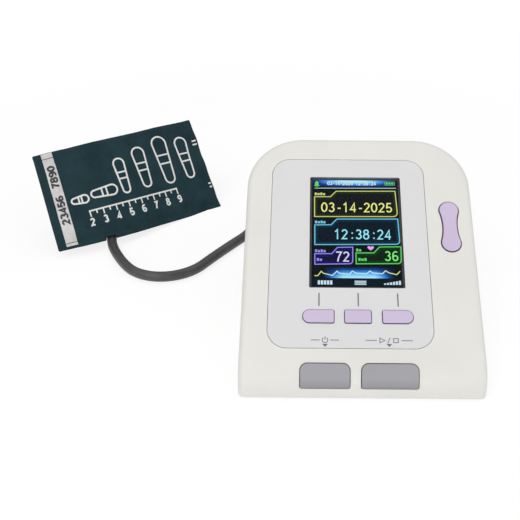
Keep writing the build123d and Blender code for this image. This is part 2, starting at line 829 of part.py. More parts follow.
with BuildPart() as pump_head:
    with BuildSketch(facing_right(head_x[0], pump_y, pump_z)):
        Circle(head_radius)
    extrude(amount=head_x[1] - head_x[0])
    with BuildSketch(Plane(origin=at(sum(head_x) / 2, pump_y, pump_z), x_dir=(1, 0, 0), z_dir=(0, -1, 0))):
        Circle(nipple_radius)
    extrude(amount=head_radius + nipple_length)
    chamfer(pump_head.faces().sort_by(Axis.X)[0].edges(), 1.2)
save(pump_head.part, "pump_head")

with BuildPart() as pump_cradle:
    with BuildSketch(level(bay_roof_z, (head_x[0] + motor_x[1]) / 2, pump_y)):
        Rectangle(motor_x[1] - head_x[0], 24)
    extrude(amount=pump_z - bay_roof_z - 4)
    with BuildSketch(facing_right(motor_x[0], pump_y, pump_z)):
        Circle(motor_radius)
    extrude(amount=motor_x[1] - motor_x[0], mode=Mode.SUBTRACT)
    with BuildSketch(facing_right(motor_x[0], pump_y, pump_z)):
        Circle(head_radius)
    extrude(amount=head_x[0] - motor_x[0], mode=Mode.SUBTRACT)
save(pump_cradle.part, "pump_cradle")

# Release valve on the roof of the battery bay
valve_left = valve_x - valve_size[0] / 2
with BuildPart() as release_valve:
    with BuildSketch(level(bay_roof_z, valve_x, manifold_y)):
        RectangleRounded(valve_size[0], valve_size[1], 1)
    extrude(amount=valve_size[2])
    with BuildSketch(facing_right(valve_left + 1, manifold_y, air_z)):
        Circle(nipple_radius)
    extrude(amount=-nipple_length - 1)
save(release_valve.part, "release_valve")

# Air manifold: joins the tubes of socket, valve, pump and sensor
manifold_left = air_x - manifold_size[0] / 2
manifold_right = air_x + manifold_size[0] / 2
manifold_rear = manifold_y + manifold_size[1] / 2
manifold_top = bay_roof_z + manifold_size[2]
with BuildPart() as air_manifold:
    with BuildSketch(level(bay_roof_z, air_x, manifold_y)):
        Rectangle(manifold_size[0], manifold_size[1])
    extrude(amount=manifold_size[2])
    with BuildSketch(facing_right(air_x, manifold_y, air_z)):
        Circle(nipple_radius)
    extrude(amount=manifold_size[0] / 2 + nipple_length, both=True)
    with BuildSketch(Plane(origin=at(air_x, manifold_y, air_z), x_dir=(-1, 0, 0), z_dir=(0, 1, 0))):
        Circle(nipple_radius)
    extrude(amount=manifold_size[1] / 2 + nipple_length)
    with BuildSketch(level(manifold_top, air_x, manifold_y)):
        Circle(nipple_radius)
    extrude(amount=nipple_length - 1)
save(air_manifold.part, "air_manifold")

# Pressure sensor on the back of the main board, over the manifold's left branch
sensor_v = (manifold_y - face_foot_y - (face_foot_z - air_z) * tan(slope)) * cos(slope)
sensor_depth = board_depth + board_thickness
with BuildPart() as pressure_sensor:
    with BuildSketch(on_face(sensor_u, sensor_v, sensor_depth)):
        RectangleRounded(sensor_size[0], sensor_size[0], 1)
    extrude(amount=-sensor_size[1])
    with BuildSketch(on_face(sensor_u, sensor_v, sensor_depth + sensor_size[1])):
        Circle(nipple_radius)
    extrude(amount=-nipple_length + 1)
save(pressure_sensor.part, "pressure_sensor")


def air_tube(name, points, radii):
    """One soft inner tube along straight runs and round bends."""
    with BuildPart() as tube:
        with BuildLine() as route:
            if radii:
                FilletPolyline(*points, radius=radii)
            else:
                Line(*points)
        with BuildSketch(Plane(origin=route.line @ 0, z_dir=route.line % 0)):
            Circle(tube_radius)
            Circle(nipple_radius, mode=Mode.SUBTRACT)
        sweep(path=route.line)
    save(tube.part, name)


sensor_face = on_face(sensor_u, sensor_v, sensor_depth + sensor_size[1]).origin
pump_port = at(sum(head_x) / 2, pump_y - head_radius, pump_z)
air_tube("socket_tube", (at(air_x, rear_y - socket_depth, air_z), at(air_x, manifold_rear, air_z)), None)
air_tube("valve_tube", (at(manifold_right, manifold_y, air_z), at(valve_left, manifold_y, air_z)), None)
air_tube(
    "pump_tube",
    (
        pump_port,
        at(sum(head_x) / 2, manifold_y, pump_z),
        at(air_x, manifold_y, manifold_top + 9),
        at(air_x, manifold_y, manifold_top),
    ),
    3.4,
)
air_tube(
    "sensor_tube",
    (at(manifold_left, manifold_y, air_z), at(sensor_u, manifold_y, air_z), sensor_face),
    3,
)

# Buzzer on the back of the main board
with BuildPart() as buzzer:
    with BuildSketch(on_face(14, 80, board_depth + board_thickness)):
        Circle(5.5)
    extrude(amount=-4)
save(buzzer.part, "buzzer")

# Air socket in the rear wall
with BuildPart() as air_socket:
    with BuildSketch(on_rear(air_x, air_z)):
        Circle(socket_flange[0])
    extrude(amount=socket_flange[1])
    with BuildSketch(on_rear(air_x, air_z)):
        Circle(socket_body_radius)
    extrude(amount=-socket_depth)
    with BuildSketch(on_rear(air_x, air_z, socket_depth)):
        Circle(nipple_radius)
    extrude(amount=-nipple_length)
    with BuildSketch(on_rear(air_x, air_z, -socket_flange[1])):
        Circle(socket_bore)
    extrude(amount=-socket_flange[1] - plug_nose_length - 0.3, mode=Mode.SUBTRACT)
save(air_socket.part, "air_socket")

# Power jack with its centre pin
with BuildPart() as power_jack:
    with BuildSketch(on_rear(*power_jack_place)):
        Circle(5.3)
    extrude(amount=0.8)
    with BuildSketch(on_rear(*power_jack_place)):
        Circle(4.5)
    extrude(amount=-12)
    with BuildSketch(on_rear(*power_jack_place, -0.8)):
        Circle(2.8)
        Circle(1.0, mode=Mode.SUBTRACT)
    extrude(amount=-10, mode=Mode.SUBTRACT)
    with BuildSketch(on_rear(*power_jack_place, -0.8)):
        Circle(2.8)
    extrude(amount=-1.5, mode=Mode.SUBTRACT)
save(power_jack.part, "power_jack")

# Data port: a metal sleeve with a tongue
with BuildPart() as data_port:
    with BuildSketch(on_rear(*data_port_place)):
        RectangleRounded(8.4, 4.4, 0.7)
    extrude(amount=-9)
    with BuildSketch(on_rear(*data_port_place)):
        RectangleRounded(7.4, 3.4, 0.4)
        Rectangle(5.4, 0.9, mode=Mode.SUBTRACT)
    extrude(amount=-6.5, mode=Mode.SUBTRACT)
save(data_port.part, "data_port")

# Probe socket in the left wall
with BuildPart() as probe_socket:
    with BuildSketch(on_left(*probe_place)):
        RectangleRounded(probe_size[0] + 3, probe_size[1] + 3, 4)
    extrude(amount=0.8)
    with BuildSketch(on_left(*probe_place)):
        RectangleRounded(*probe_size, 3)
    extrude(amount=-11)
    with BuildSketch(on_left(*probe_place, -0.8)):
        RectangleRounded(probe_size[0] - 4, probe_size[1] - 4, 2)
        RectangleRounded(probe_size[0] - 7, probe_size[1] - 7, 1.4, mode=Mode.SUBTRACT)
    extrude(amount=-5, mode=Mode.SUBTRACT)
save(probe_socket.part, "probe_socket")

# Air plug in the socket
plug_face = rear_y + socket_flange[1]
with BuildPart() as air_plug:
    with BuildSketch(on_rear(air_x, air_z, -socket_flange[1])):
        Circle(plug_nose_radius)
    extrude(amount=-plug_nose_length)
    with BuildSketch(on_rear(air_x, air_z, -socket_flange[1])):
        Circle(plug_radius)
    extrude(amount=plug_length * 0.6)
    with BuildSketch(on_rear(air_x, air_z, -socket_flange[1])):
        Circle(plug_tail_radius)
    extrude(amount=plug_length)
    with BuildSketch(on_rear(air_x, air_z, -socket_flange[1] - 1.5)):
        with PolarLocations(plug_radius, 12):
            Circle(0.5)
    extrude(amount=plug_length * 0.6 - 3, mode=Mode.SUBTRACT)
save(air_plug.part, "air_plug")

# Air hose: from the plug round the monitor's rear corner and along the table to the cuff.
# The points are the corners of its route, counted like every place of the monitor.
hose_points = [
    at(air_x, plug_face + plug_length, air_z),
    at(air_x, plug_face + plug_length + 13.6, air_z),
    at(-20.3, 105.9, 20.4),
    at(-29.5, 112.8, 13.1),
    at(-41.6, 113.0, 6.6),
    at(-53.0, 106.4, hose_radius),
    at(-60.6, 95.0, hose_radius),
    at(-61.4, 80.4, hose_radius),
    at(-71.9, 65.2, hose_radius),
    at(-82.7, 48.3, hose_radius),
    at(-88.5, 38.2, hose_radius),
    at(-97.9, 31.4, hose_radius),
    at(-109.4, 29.3, hose_radius),
    at(-120.6, 32.5, hose_radius),
    at(-129.3, 40.2, hose_radius),
    at(-140.1, 57.4, hose_radius),
    port_point(port_reach[0] - 13.0, port_radius),
    port_point(port_reach[0], port_radius),
]


def hose_radii(points):
    """Bend radius at each inner point: 0.45 of the shorter run over the tangent of half the turn."""
    radii = []
    for before, here, after in zip(points, points[1:], points[2:]):
        first = here - before
        second = after - here
        half_turn = radians(first.get_angle(second)) / 2
        radii.append(0.45 * min(first.length, second.length) / tan(half_turn))
    return radii


bends = hose_radii(hose_points)
with BuildPart() as air_hose:
    with BuildLine() as hose_route:
        FilletPolyline(*hose_points, radius=bends)
    with BuildSketch(Plane(origin=hose_route.line @ 0, z_dir=hose_route.line % 0)):
        Circle(hose_radius)
    sweep(path=hose_route.line)
save(air_hose.part, "air_hose")
hose_length = hose_route.wires()[0].length
print("hose length", round(hose_length, 1), "bend radii", [round(bend, 1) for bend in bends])
print("hose volume", round(air_hose.part.volume), round(hose_length * 3.14159265 * hose_radius**2))

# Port of the cuff: the barrel that takes the hose, and its flat neck up into the bladder
along = (cos(turn), sin(turn), 0)
layer_gap = flap_thickness + 2 * patch_thickness + flap_play
pocket_depth = layer_gap + (loop_wall - bladder_thickness) / 2
neck_middle = (mouth_place + neck_shift, (neck_foot + patch_rise[0]) / 2)
with BuildPart() as hose_port:
    with BuildSketch(Plane(origin=port_point(port_reach[0], port_radius), x_dir=port_side, z_dir=port_out)):
        Circle(port_radius)
    extrude(amount=port_reach[0] - port_reach[1])
    with BuildSketch(on_flap(*neck_middle, pocket_depth)):
        Rectangle(neck_width, patch_rise[0] - neck_foot)
    extrude(amount=-bladder_thickness)
save(hose_port.part, "hose_port")


def loop_outline(width, depth, left_radius, right_radius, back_radius):
    """Level section of the cuff's loop, its front on the low side."""
    with BuildSketch() as outline:
        Rectangle(width, depth)
        front = outline.vertices().group_by(Axis.Y)[0].sort_by(Axis.X)
        back = outline.vertices().group_by(Axis.Y)[-1]
        fillet(back, back_radius)
        fillet(front[0], left_radius)
        fillet(front[1], right_radius)
    return outline.sketch


def loop_form(inset):
    """Loop of the cuff as a solid form, every side moved inwards by inset."""
    width = flap_length - loop_left - 2 * inset
    middle = (flap_length + loop_left) / 2
    with BuildPart() as form:
        for z, back, back_fold in zip((0, loop_height), loop_back, back_folds):
            near = (layer_gap + inset) / cos(lean) + z * tan(lean)
            far = back - inset
            most = (far - near) * 0.45
            place = Plane(origin=cuff_point(middle, (near + far) / 2, z), x_dir=along)
            with BuildSketch(place):
                add(
                    loop_outline(
                        width,
                        far - near,
                        min(max(left_fold - inset, 0.6), most),
                        min(max(right_fold - inset, 0.4), most),
                        min(max(back_fold - inset, 0.4), most),
                    )
                )
        loft(ruled=True)
    return form.part


def mouth_outline():
    """Outline of the opening for the hose, wider at its foot on the side that the flap swings past."""
    with BuildSketch() as outline:
        with BuildLine():
            Polyline(
                (mouth_half, -2),
                (mouth_half, mouth_height),
                (-mouth_half, mouth_height),
                (-mouth_spread, -2),
                close=True,
            )
        make_face()
        fillet(outline.vertices().group_by(Axis.Y)[-1], 2.4)
    return outline.sketch


# Cuff loop: the band with the pocket of the bladder, standing on its lower edge
mouth = Plane(origin=port_point(-5, 0), x_dir=port_side, z_dir=port_out)
pocket_height = patch_rise[1] - patch_rise[0]
pocket_width = bladder_span[1] - bladder_span[0]
pocket_middle = (sum(bladder_span) / 2, sum(patch_rise) / 2)
root_width = flap_length - flap_hinge - flap_play
with BuildPart() as cuff_loop:
    add(loop_form(0))
    add(loop_form(loop_wall), mode=Mode.SUBTRACT)
    with BuildSketch(on_flap(flap_length - root_width / 2, flap_height / 2 - 2)) as root:
        Rectangle(root_width, flap_height + 4)
        fillet(root.vertices().group_by(Axis.X)[-1].group_by(Axis.Y)[-1], flap_corner)
    extrude(amount=-root_depth)
    split(bisect_by=level(0), keep=Keep.TOP)
    with BuildSketch(on_flap(*pocket_middle, pocket_depth)):
        Rectangle(pocket_width, pocket_height)
    extrude(amount=-bladder_thickness, mode=Mode.SUBTRACT)
    with BuildSketch(on_flap(*neck_middle, pocket_depth)):
        Rectangle(neck_width, patch_rise[0] - neck_foot)
    extrude(amount=-bladder_thickness, mode=Mode.SUBTRACT)
    with BuildSketch(mouth):
        add(mouth_outline())
    extrude(amount=-20, mode=Mode.SUBTRACT)
save(cuff_loop.part, "cuff_loop")

# Bladder in its pocket
with BuildPart() as bladder:
    with BuildSketch(on_flap(*pocket_middle, pocket_depth)):
        Rectangle(pocket_width, pocket_height)
    extrude(amount=-bladder_thickness)
save(bladder.part, "bladder")

# Front flap of the cuff, which peels open round the fold on its right
with BuildPart() as cuff_flap:
    with BuildSketch(on_flap(flap_hinge / 2, flap_height / 2 - 2)) as sheet:
        Rectangle(flap_hinge, flap_height + 4)
        fillet(sheet.vertices().group_by(Axis.X)[0].group_by(Axis.Y)[-1], flap_corner)
    extrude(amount=-flap_thickness)
    split(bisect_by=level(0), keep=Keep.TOP)
    with BuildSketch(mouth):
        add(mouth_outline())
    extrude(amount=-16, mode=Mode.SUBTRACT)
save(cuff_flap.part, "cuff_flap")


def patch(span, rise, depth, thickness, name):
    """Thin rectangle on the cuff's front, from one place to another along and up it."""
    with BuildPart() as sheet:
        with BuildSketch(on_flap(sum(span) / 2, sum(rise) / 2, depth)):
            RectangleRounded(span[1] - span[0], rise[1] - rise[0], 0.8)
        extrude(amount=thickness)
    save(sheet.part, name)


hook_depth = flap_thickness + patch_thickness
patch(hook_patch_span, patch_rise, hook_depth, patch_thickness, "hook_patch")
patch(loop_patch_span, patch_rise, layer_gap, patch_thickness, "loop_patch")
patch(strip_span, (0.4, flap_height - 0.4), 0, strip_thickness, "index_strip")

still_parts = Compound(children=[base_shell.part, front_cover.part, cuff_loop.part, cuff_flap.part])
still_box = still_parts.bounding_box()
print("middle of the footprint", still_box.center(), "size", still_box.size)
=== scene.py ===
"""Desktop blood pressure monitor for animals, dressed for its picture.

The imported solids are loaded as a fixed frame. Rigid pieces keep their solids and get
finishes. The screen picture, the prints, the hose and the cloth of the cuff are made here.
"""

import json
import logging
import math
from collections.abc import Callable, Sequence
from dataclasses import dataclass, field
from enum import Enum

import bmesh
import bpy
from mathutils import Matrix, Vector, noise
from mathutils.bvhtree import BVHTree

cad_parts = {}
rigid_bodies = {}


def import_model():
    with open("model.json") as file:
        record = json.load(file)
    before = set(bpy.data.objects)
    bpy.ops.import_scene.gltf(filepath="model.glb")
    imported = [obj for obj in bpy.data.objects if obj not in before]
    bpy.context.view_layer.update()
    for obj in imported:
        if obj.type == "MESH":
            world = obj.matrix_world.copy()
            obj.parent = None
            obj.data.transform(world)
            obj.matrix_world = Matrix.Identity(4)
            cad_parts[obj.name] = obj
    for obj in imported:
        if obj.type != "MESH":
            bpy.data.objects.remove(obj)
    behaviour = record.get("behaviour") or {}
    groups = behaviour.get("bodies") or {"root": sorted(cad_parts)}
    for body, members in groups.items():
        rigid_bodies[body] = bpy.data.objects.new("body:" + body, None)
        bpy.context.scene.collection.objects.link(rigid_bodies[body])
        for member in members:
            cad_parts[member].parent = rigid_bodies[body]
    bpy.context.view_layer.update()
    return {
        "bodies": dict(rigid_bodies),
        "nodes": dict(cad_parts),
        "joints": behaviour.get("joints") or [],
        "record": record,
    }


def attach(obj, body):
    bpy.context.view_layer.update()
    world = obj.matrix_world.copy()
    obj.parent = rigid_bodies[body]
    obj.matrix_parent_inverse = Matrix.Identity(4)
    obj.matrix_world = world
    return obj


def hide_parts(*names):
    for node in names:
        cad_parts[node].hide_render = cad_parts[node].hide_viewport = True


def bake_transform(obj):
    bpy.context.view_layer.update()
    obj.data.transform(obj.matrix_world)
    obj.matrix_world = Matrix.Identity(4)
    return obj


log = logging.getLogger("monitor")

Point2 = tuple[float, float]
Point3 = tuple[float, float, float]
Point4 = tuple[float, float, float, float]
Colour = Point3
Mesh = bmesh.types.BMesh
Socket = bpy.types.NodeSocket
Material = bpy.types.Material

MM = 0.001
FINISH_MARK = "_finish"
UNIT_MIDDLE = Vector((67.9, -43.58, 0.0))
FACE_SLOPE = math.radians(32.5)
FACE_FOOT = (-55.5, 17.4)
FACE_RUN_OUT = 2.4
NOSE_RADIUS = 16.1
NOSE_MIDDLE = (
    FACE_FOOT[0] - FACE_RUN_OUT * math.cos(FACE_SLOPE) + NOSE_RADIUS * math.sin(FACE_SLOPE),
    FACE_FOOT[1] - FACE_RUN_OUT * math.sin(FACE_SLOPE) - NOSE_RADIUS * math.cos(FACE_SLOPE),
)
CUFF_CORNER = (-172.7, 61.2)
CUFF_TURN = math.radians(34.5)
CUFF_LEAN = math.radians(33.1)
PORT_WAY = math.radians(9.5)

# Length in which the wave pattern repeats at a scale of 1
WAVE_RUN = 0.314
SCREEN_BLACK = (0.002, 0.002, 0.003, 1.0)
WHITE = (1.0, 1.0, 1.0, 1.0)

# Cloth is simulated with 1 mm as 0.01 units
CLOTH_SCALE = 0.01
CLOTH_FRAMES = 20
CLOTH_SETTINGS = {
    "quality": 6,
    "mass": 0.4,
    "tension_stiffness": 12,
    "compression_stiffness": 12,
    "shear_stiffness": 4,
    "bending_stiffness": 0.15,
    "shrink_min": -0.012,
    "use_pressure": True,
    "vertex_group_mass": "held",
}


def linear(red: int, green: int, blue: int) -> Colour:
    """Turns a screen colour, its parts from 0 to 255, into the linear values that shaders take."""
    shares = (value / 255 for value in (red, green, blue))
    return tuple(share / 12.92 if share <= 0.04045 else ((share + 0.055) / 1.055) ** 2.4 for share in shares)


def lighter(colour: Colour, share: float) -> Colour:
    """The colour made lighter or, with a negative share, darker."""
    return tuple(min(1.0, max(0.0, part * (1 + share))) for part in colour)


def unit_point(x: float, y: float, z: float) -> Vector:
    """Place of the monitor, counted in mm from the middle of its footprint, in metres."""
    return (UNIT_MIDDLE + Vector((x, y, z))) * MM


def cuff_point(along: float, back: float, z: float) -> Vector:
    """Place of the cuff: along its lower edge, back from it and up, in mm, as metres."""
    sin, cos = math.sin(CUFF_TURN), math.cos(CUFF_TURN)
    return unit_point(CUFF_CORNER[0] + along * cos - back * sin, CUFF_CORNER[1] + along * sin + back * cos, z)


def drawing(origin: Vector, right: Vector, up: Vector) -> Matrix:
    """Matrix that lays a drawing made in mm on a plane of the object.

    Args:
        origin: Place of the drawing's own origin, in metres.
        right: Direction of the drawing's x.
        up: Direction of the drawing's y.

    Returns:
        The matrix from mm on the drawing to metres in the frame.
    """
    right, up = right.normalized(), up.normalized()
    turned = Matrix((right * MM, up * MM, right.cross(up) * MM)).transposed().to_4x4()
    return Matrix.Translation(origin) @ turned


def on_face(u: float, v: float, depth: float = 0.0) -> Matrix:
    """Drawing plane on the sloping face.

    Args:
        u: Place to the right, in mm.
        v: Place up the slope, in mm.
        depth: Depth below the face, in mm.

    Returns:
        The matrix from the drawing to the frame.
    """
    sin, cos = math.sin(FACE_SLOPE), math.cos(FACE_SLOPE)
    place = unit_point(u, FACE_FOOT[0] + v * cos + depth * sin, FACE_FOOT[1] + v * sin - depth * cos)
    return drawing(place, Vector((1, 0, 0)), Vector((0, cos, sin)))


def on_flap(along: float = 0.0, up: float = 0.0, depth: float = 0.0) -> Matrix:
    """Drawing plane on the leaning front of the cuff.

    Args:
        along: Place along the cuff, in mm.
        up: Place up its front, in mm.
        depth: Depth below its front, in mm.

    Returns:
        The matrix from the drawing to the frame.
    """
    sin, cos = math.sin(CUFF_LEAN), math.cos(CUFF_LEAN)
    right = Vector((math.cos(CUFF_TURN), math.sin(CUFF_TURN), 0))
    upwards = Vector((-math.sin(CUFF_TURN) * sin, math.cos(CUFF_TURN) * sin, cos))
    return drawing(cuff_point(along, up * sin + depth * cos, up * cos - depth * sin), right, upwards)


class NodeTree:
    """Grows a tree of shader nodes."""

    def __init__(self, tree: bpy.types.NodeTree) -> None:
        """Starts from an empty tree."""
        self.tree = tree
        self.tree.nodes.clear()

    def node(self, kind: str, inputs: dict | None = None, **settings: object) -> bpy.types.Node:
        """Adds one node.

        Args:
            kind: Node type without its ShaderNode prefix.
            inputs: Socket name or number to a constant or to another socket.
            settings: Properties of the node itself.

        Returns:
            The new node.
        """
        made = self.tree.nodes.new(f"ShaderNode{kind}")
        for key, value in settings.items():
            setattr(made, key, value)
        for key, value in (inputs or {}).items():
            if isinstance(value, Socket):
                self.tree.links.new(value, made.inputs[key])
            else:
                made.inputs[key].default_value = value
        return made

    def maths(self, operation: str, first: Socket | float, second: Socket | float = 0.0) -> Socket:
        """One arithmetic step."""
        return self.node("Math", {0: first, 1: second}, operation=operation).outputs[0]


class Recipe(NodeTree):
    """Grows the nodes of one finish."""

    def __init__(self, name: str) -> None:
        """Starts an empty material.

        Args:
            name: Name of the material.
        """
        self.material = bpy.data.materials.new(f"{name}{FINISH_MARK}")
        self.material.use_nodes = True
        super().__init__(self.material.node_tree)

    def object_coords(self) -> Socket:
        """Object coordinates, in metres."""
        return self.node("TexCoord").outputs["Object"]

    def mapped(self, **changes: Sequence[float]) -> Socket:
        """Object coordinates, stretched or turned."""
        return self.node("Mapping", {"Vector": self.object_coords(), **changes}).outputs["Vector"]

    def uv_coords(self) -> Socket:
        """The piece's own UV map."""
        return self.node("TexCoord").outputs["UV"]

    def uv_parts(self) -> Sequence[Socket]:
        """The two parts of the piece's own UV map."""
        return self.node("SeparateXYZ", {0: self.uv_coords()}).outputs

    def noise(self, coords: Socket, scale: float, detail: float = 3.0) -> Socket:
        """Noise of a given scale per metre, from 0 to 1."""
        return self.node("TexNoise", {"Vector": coords, "Scale": scale, "Detail": detail}).outputs["Fac"]

    def waves(self, inputs: dict[str, object]) -> list[Socket]:
        """Two wave patterns across each other."""
        made = [self.node("TexWave", inputs, bands_direction=direction) for direction in ("X", "Y")]
        return [wave.outputs["Fac"] for wave in made]

    def spread(self, value: Socket, low: float, high: float, near: float = 0.3, far: float = 0.7) -> Socket:
        """Maps a value between near and far to low and high."""
        inputs = {"Value": value, "From Min": near, "From Max": far, "To Min": low, "To Max": high}
        return self.node("MapRange", inputs).outputs["Result"]

    def around(self, value: Socket, middle: float, inner: float, outer: float) -> Socket:
        """1 near a middle, falling to 0 from inner to outer on either side of it."""
        off = self.maths("ABSOLUTE", self.maths("SUBTRACT", value, middle))
        return self.spread(off, 1.0, 0.0, inner, outer)

    def tint(self, share: Socket, first: Socket | Colour, second: Socket | Colour) -> Socket:
        """Mixes two colours by a share."""
        ends = [end if isinstance(end, Socket) else (*end, 1.0) for end in (first, second)]
        return self.node("Mix", {"Factor": share, 6: ends[0], 7: ends[1]}, data_type="RGBA").outputs[2]

    def vectors(self, operation: str, *parts: Socket | Sequence[float], **named: Socket) -> Sequence[Socket]:
        """One step of vector arithmetic, as its vector and its value."""
        return self.node("VectorMath", {**dict(enumerate(parts)), **named}, operation=operation).outputs

    def bump(self, height: Socket, distance: float) -> Socket:
        """Surface relief of a given height in metres."""
        return self.node("Bump", {"Height": height, "Distance": distance, "Strength": 1.0}).outputs["Normal"]

    def close(self, shader: bpy.types.Node) -> Material:
        """Ends the material with a shader."""
        self.node("OutputMaterial", {"Surface": shader.outputs[0]})
        return self.material

    def shade(self, **inputs: object) -> Material:
        """Ends the material with one principled shader, whose inputs have underscores for spaces."""
        named = {key.replace("_", " "): value for key, value in inputs.items()}
        return self.close(self.node("BsdfPrincipled", named))

    def lit(self, colour: Socket) -> Material:
        """Ends the material as a lit part of the screen."""
        look = {"Base_Color": SCREEN_BLACK, "Roughness": 0.35, "Specular_IOR_Level": 0.05}
        return self.shade(**look, Emission_Color=colour, Emission_Strength=1.0)


class Ground(Enum):
    """What a key stands on."""

    FACE = "sloping face"
    NOSE = "rounded front edge"


@dataclass(frozen=True)
class MouldedPlastic:
    """Moulded plastic with a fine spark-eroded grain."""

    name: str
    colour: Colour
    roughness: float = 0.42
    grain: float = 0.00001
    grain_scale: float = 2600.0
    mottle: float = 0.02
    coat: float = 0.0
    mottle_scale: float = 38.0

    def build(self) -> Material:
        """Makes the material.

        Returns:
            The material.
        """
        recipe = Recipe(self.name)
        coords = recipe.object_coords()
        broad = recipe.noise(coords, self.mottle_scale)
        tones = [lighter(self.colour, share) for share in (-self.mottle, self.mottle)]
        colour = recipe.tint(recipe.spread(broad, 0.0, 1.0), *tones)
        return recipe.shade(
            Base_Color=self.tone(recipe, coords, colour),
            Roughness=recipe.spread(broad, self.roughness - 0.04, self.roughness + 0.05),
            Coat_Weight=self.coat,
            Normal=recipe.bump(recipe.noise(coords, self.grain_scale, 2.0), self.grain),
        )

    def tone(self, recipe: Recipe, coords: Socket, colour: Socket) -> Socket:
        """Colour of the surface, here the mottled colour as it is."""
        return colour


@dataclass(frozen=True)
class KeyPlastic(MouldedPlastic):
    """Soft moulded plastic of a key, with painted shade down its sides and, where foot_shade is set, painted
    shade towards the table.
    """

    mottle_scale: float = 60.0
    # Colour of the painted shade down the sides of a key and in the gaps round it
    side: Colour = (0.1, 0.1, 0.1)
    ground: Ground = Ground.FACE
    side_mm: Point2 = (0.34, 0.58)
    # Painted shade towards the table: how much darker, and the heights between which it fades out
    foot_shade: float = 0.0
    foot_mm: Point2 = (5.2, 11.0)

    def tone(self, recipe: Recipe, coords: Socket, colour: Socket) -> Socket:
        """Colour of the surface: painted shade towards the table, and painted shade down the sides.

        Args:
            recipe: Takes the nodes.
            coords: Object coordinates.
            colour: The mottled colour.

        Returns:
            The colour.
        """
        # Painted shade that darkens the colour towards the table
        level = recipe.node("SeparateXYZ", {0: coords}).outputs["Z"]
        low, high = (height * MM for height in self.foot_mm)
        share = recipe.spread(level, 1 - self.foot_shade, 1.0, low, high)
        top = recipe.vectors("SCALE", colour, Scale=share)["Vector"]
        # Painted shade: below the top, the sides take the side colour
        low, high = (height * MM for height in self.side_mm)
        return recipe.tint(recipe.spread(self.height(recipe, coords), 1.0, 0.0, low, high), top, self.side)

    def height(self, recipe: Recipe, coords: Socket) -> Socket:
        """Height over the ground that the key stands on.

        Args:
            recipe: Takes the nodes.
            coords: Object coordinates.

        Returns:
            The height in metres.
        """
        if self.ground is Ground.FACE:
            normal = (0.0, -math.sin(FACE_SLOPE), math.cos(FACE_SLOPE))
            offset = recipe.vectors("SUBTRACT", coords, tuple(unit_point(0, *FACE_FOOT)))["Vector"]
            return recipe.vectors("DOT_PRODUCT", offset, normal)["Value"]
        offset = recipe.vectors("SUBTRACT", coords, tuple(unit_point(0, *NOSE_MIDDLE)))["Vector"]
        flat = recipe.vectors("MULTIPLY", offset, (0.0, 1.0, 1.0))["Vector"]
        return recipe.maths("SUBTRACT", recipe.vectors("LENGTH", flat)["Value"], NOSE_RADIUS * MM)


@dataclass(frozen=True)
class BrushedMetal:
    """Metal with fine lines drawn along one axis."""

    name: str
    colour: Colour
    roughness: float = 0.34

    def build(self) -> Material:
        """Makes the material.

        Returns:
            The material.
        """
        recipe = Recipe(self.name)
        lines = recipe.noise(recipe.mapped(Scale=(60.0, 1400.0, 1400.0)), 2.0, 4.0)
        return recipe.shade(
            Base_Color=recipe.tint(lines, lighter(self.colour, -0.12), lighter(self.colour, 0.08)),
            Metallic=1.0,
            Roughness=recipe.spread(lines, self.roughness - 0.06, self.roughness + 0.1),
            Normal=recipe.bump(lines, 0.000008),
        )


@dataclass(frozen=True)
class SoftRubber:
    """Dull rubber with a faint bloom and scuffs."""

    name: str
    colour: Colour
    bloom: Colour
    roughness: float = 0.55

    def build(self) -> Material:
        """Makes the material.

        Returns:
            The material.
        """
        recipe = Recipe(self.name)
        coords = recipe.object_coords()
        broad = recipe.noise(coords, 90.0, 4.0)
        return recipe.shade(
            Base_Color=recipe.tint(recipe.spread(broad, 0.0, 1.0, 0.4, 0.75), self.colour, self.bloom),
            Roughness=recipe.spread(broad, self.roughness - 0.08, self.roughness + 0.1),
            Normal=recipe.bump(recipe.noise(coords, 1900.0, 2.0), 0.00003),
        )


@dataclass(frozen=True)
class ClearPlate:
    """Thin clear plate: what lies below shows through, with a faint gloss."""

    name: str
    tint: Colour

    def build(self) -> Material:
        """Makes the material.

        Returns:
            The material.
        """
        recipe = Recipe(self.name)
        smears = recipe.noise(recipe.object_coords(), 60.0, 4.0)
        clear = recipe.node("BsdfTransparent", {"Color": (*self.tint, 1.0)})
        gloss = recipe.node("BsdfGlossy", {"Color": WHITE, "Roughness": recipe.spread(smears, 0.12, 0.24)})
        edge = recipe.node("Fresnel", {"IOR": 1.35}).outputs["Fac"]
        share = recipe.maths("MULTIPLY", edge, 0.1)
        return recipe.close(recipe.node("MixShader", {0: share, 1: clear.outputs[0], 2: gloss.outputs[0]}))


@dataclass(frozen=True)
class Glow:
    """Lit part of the screen, with the fine grid of its picture cells."""

    name: str
    colour: Colour
    grid_scale: float = 250.0

    def build(self) -> Material:
        """Makes the material.

        Returns:
            The material.
        """
        recipe = Recipe(self.name)
        along_face = recipe.mapped(Rotation=(-FACE_SLOPE, 0.0, 0.0))
        grid = recipe.waves({"Vector": along_face, "Scale": self.grid_scale})
        cells = recipe.maths("MULTIPLY", *(recipe.spread(wave, 0.86, 1.0, 0.0, 0.4) for wave in grid))
        return recipe.lit(recipe.tint(cells, lighter(self.colour, -0.25), self.colour))


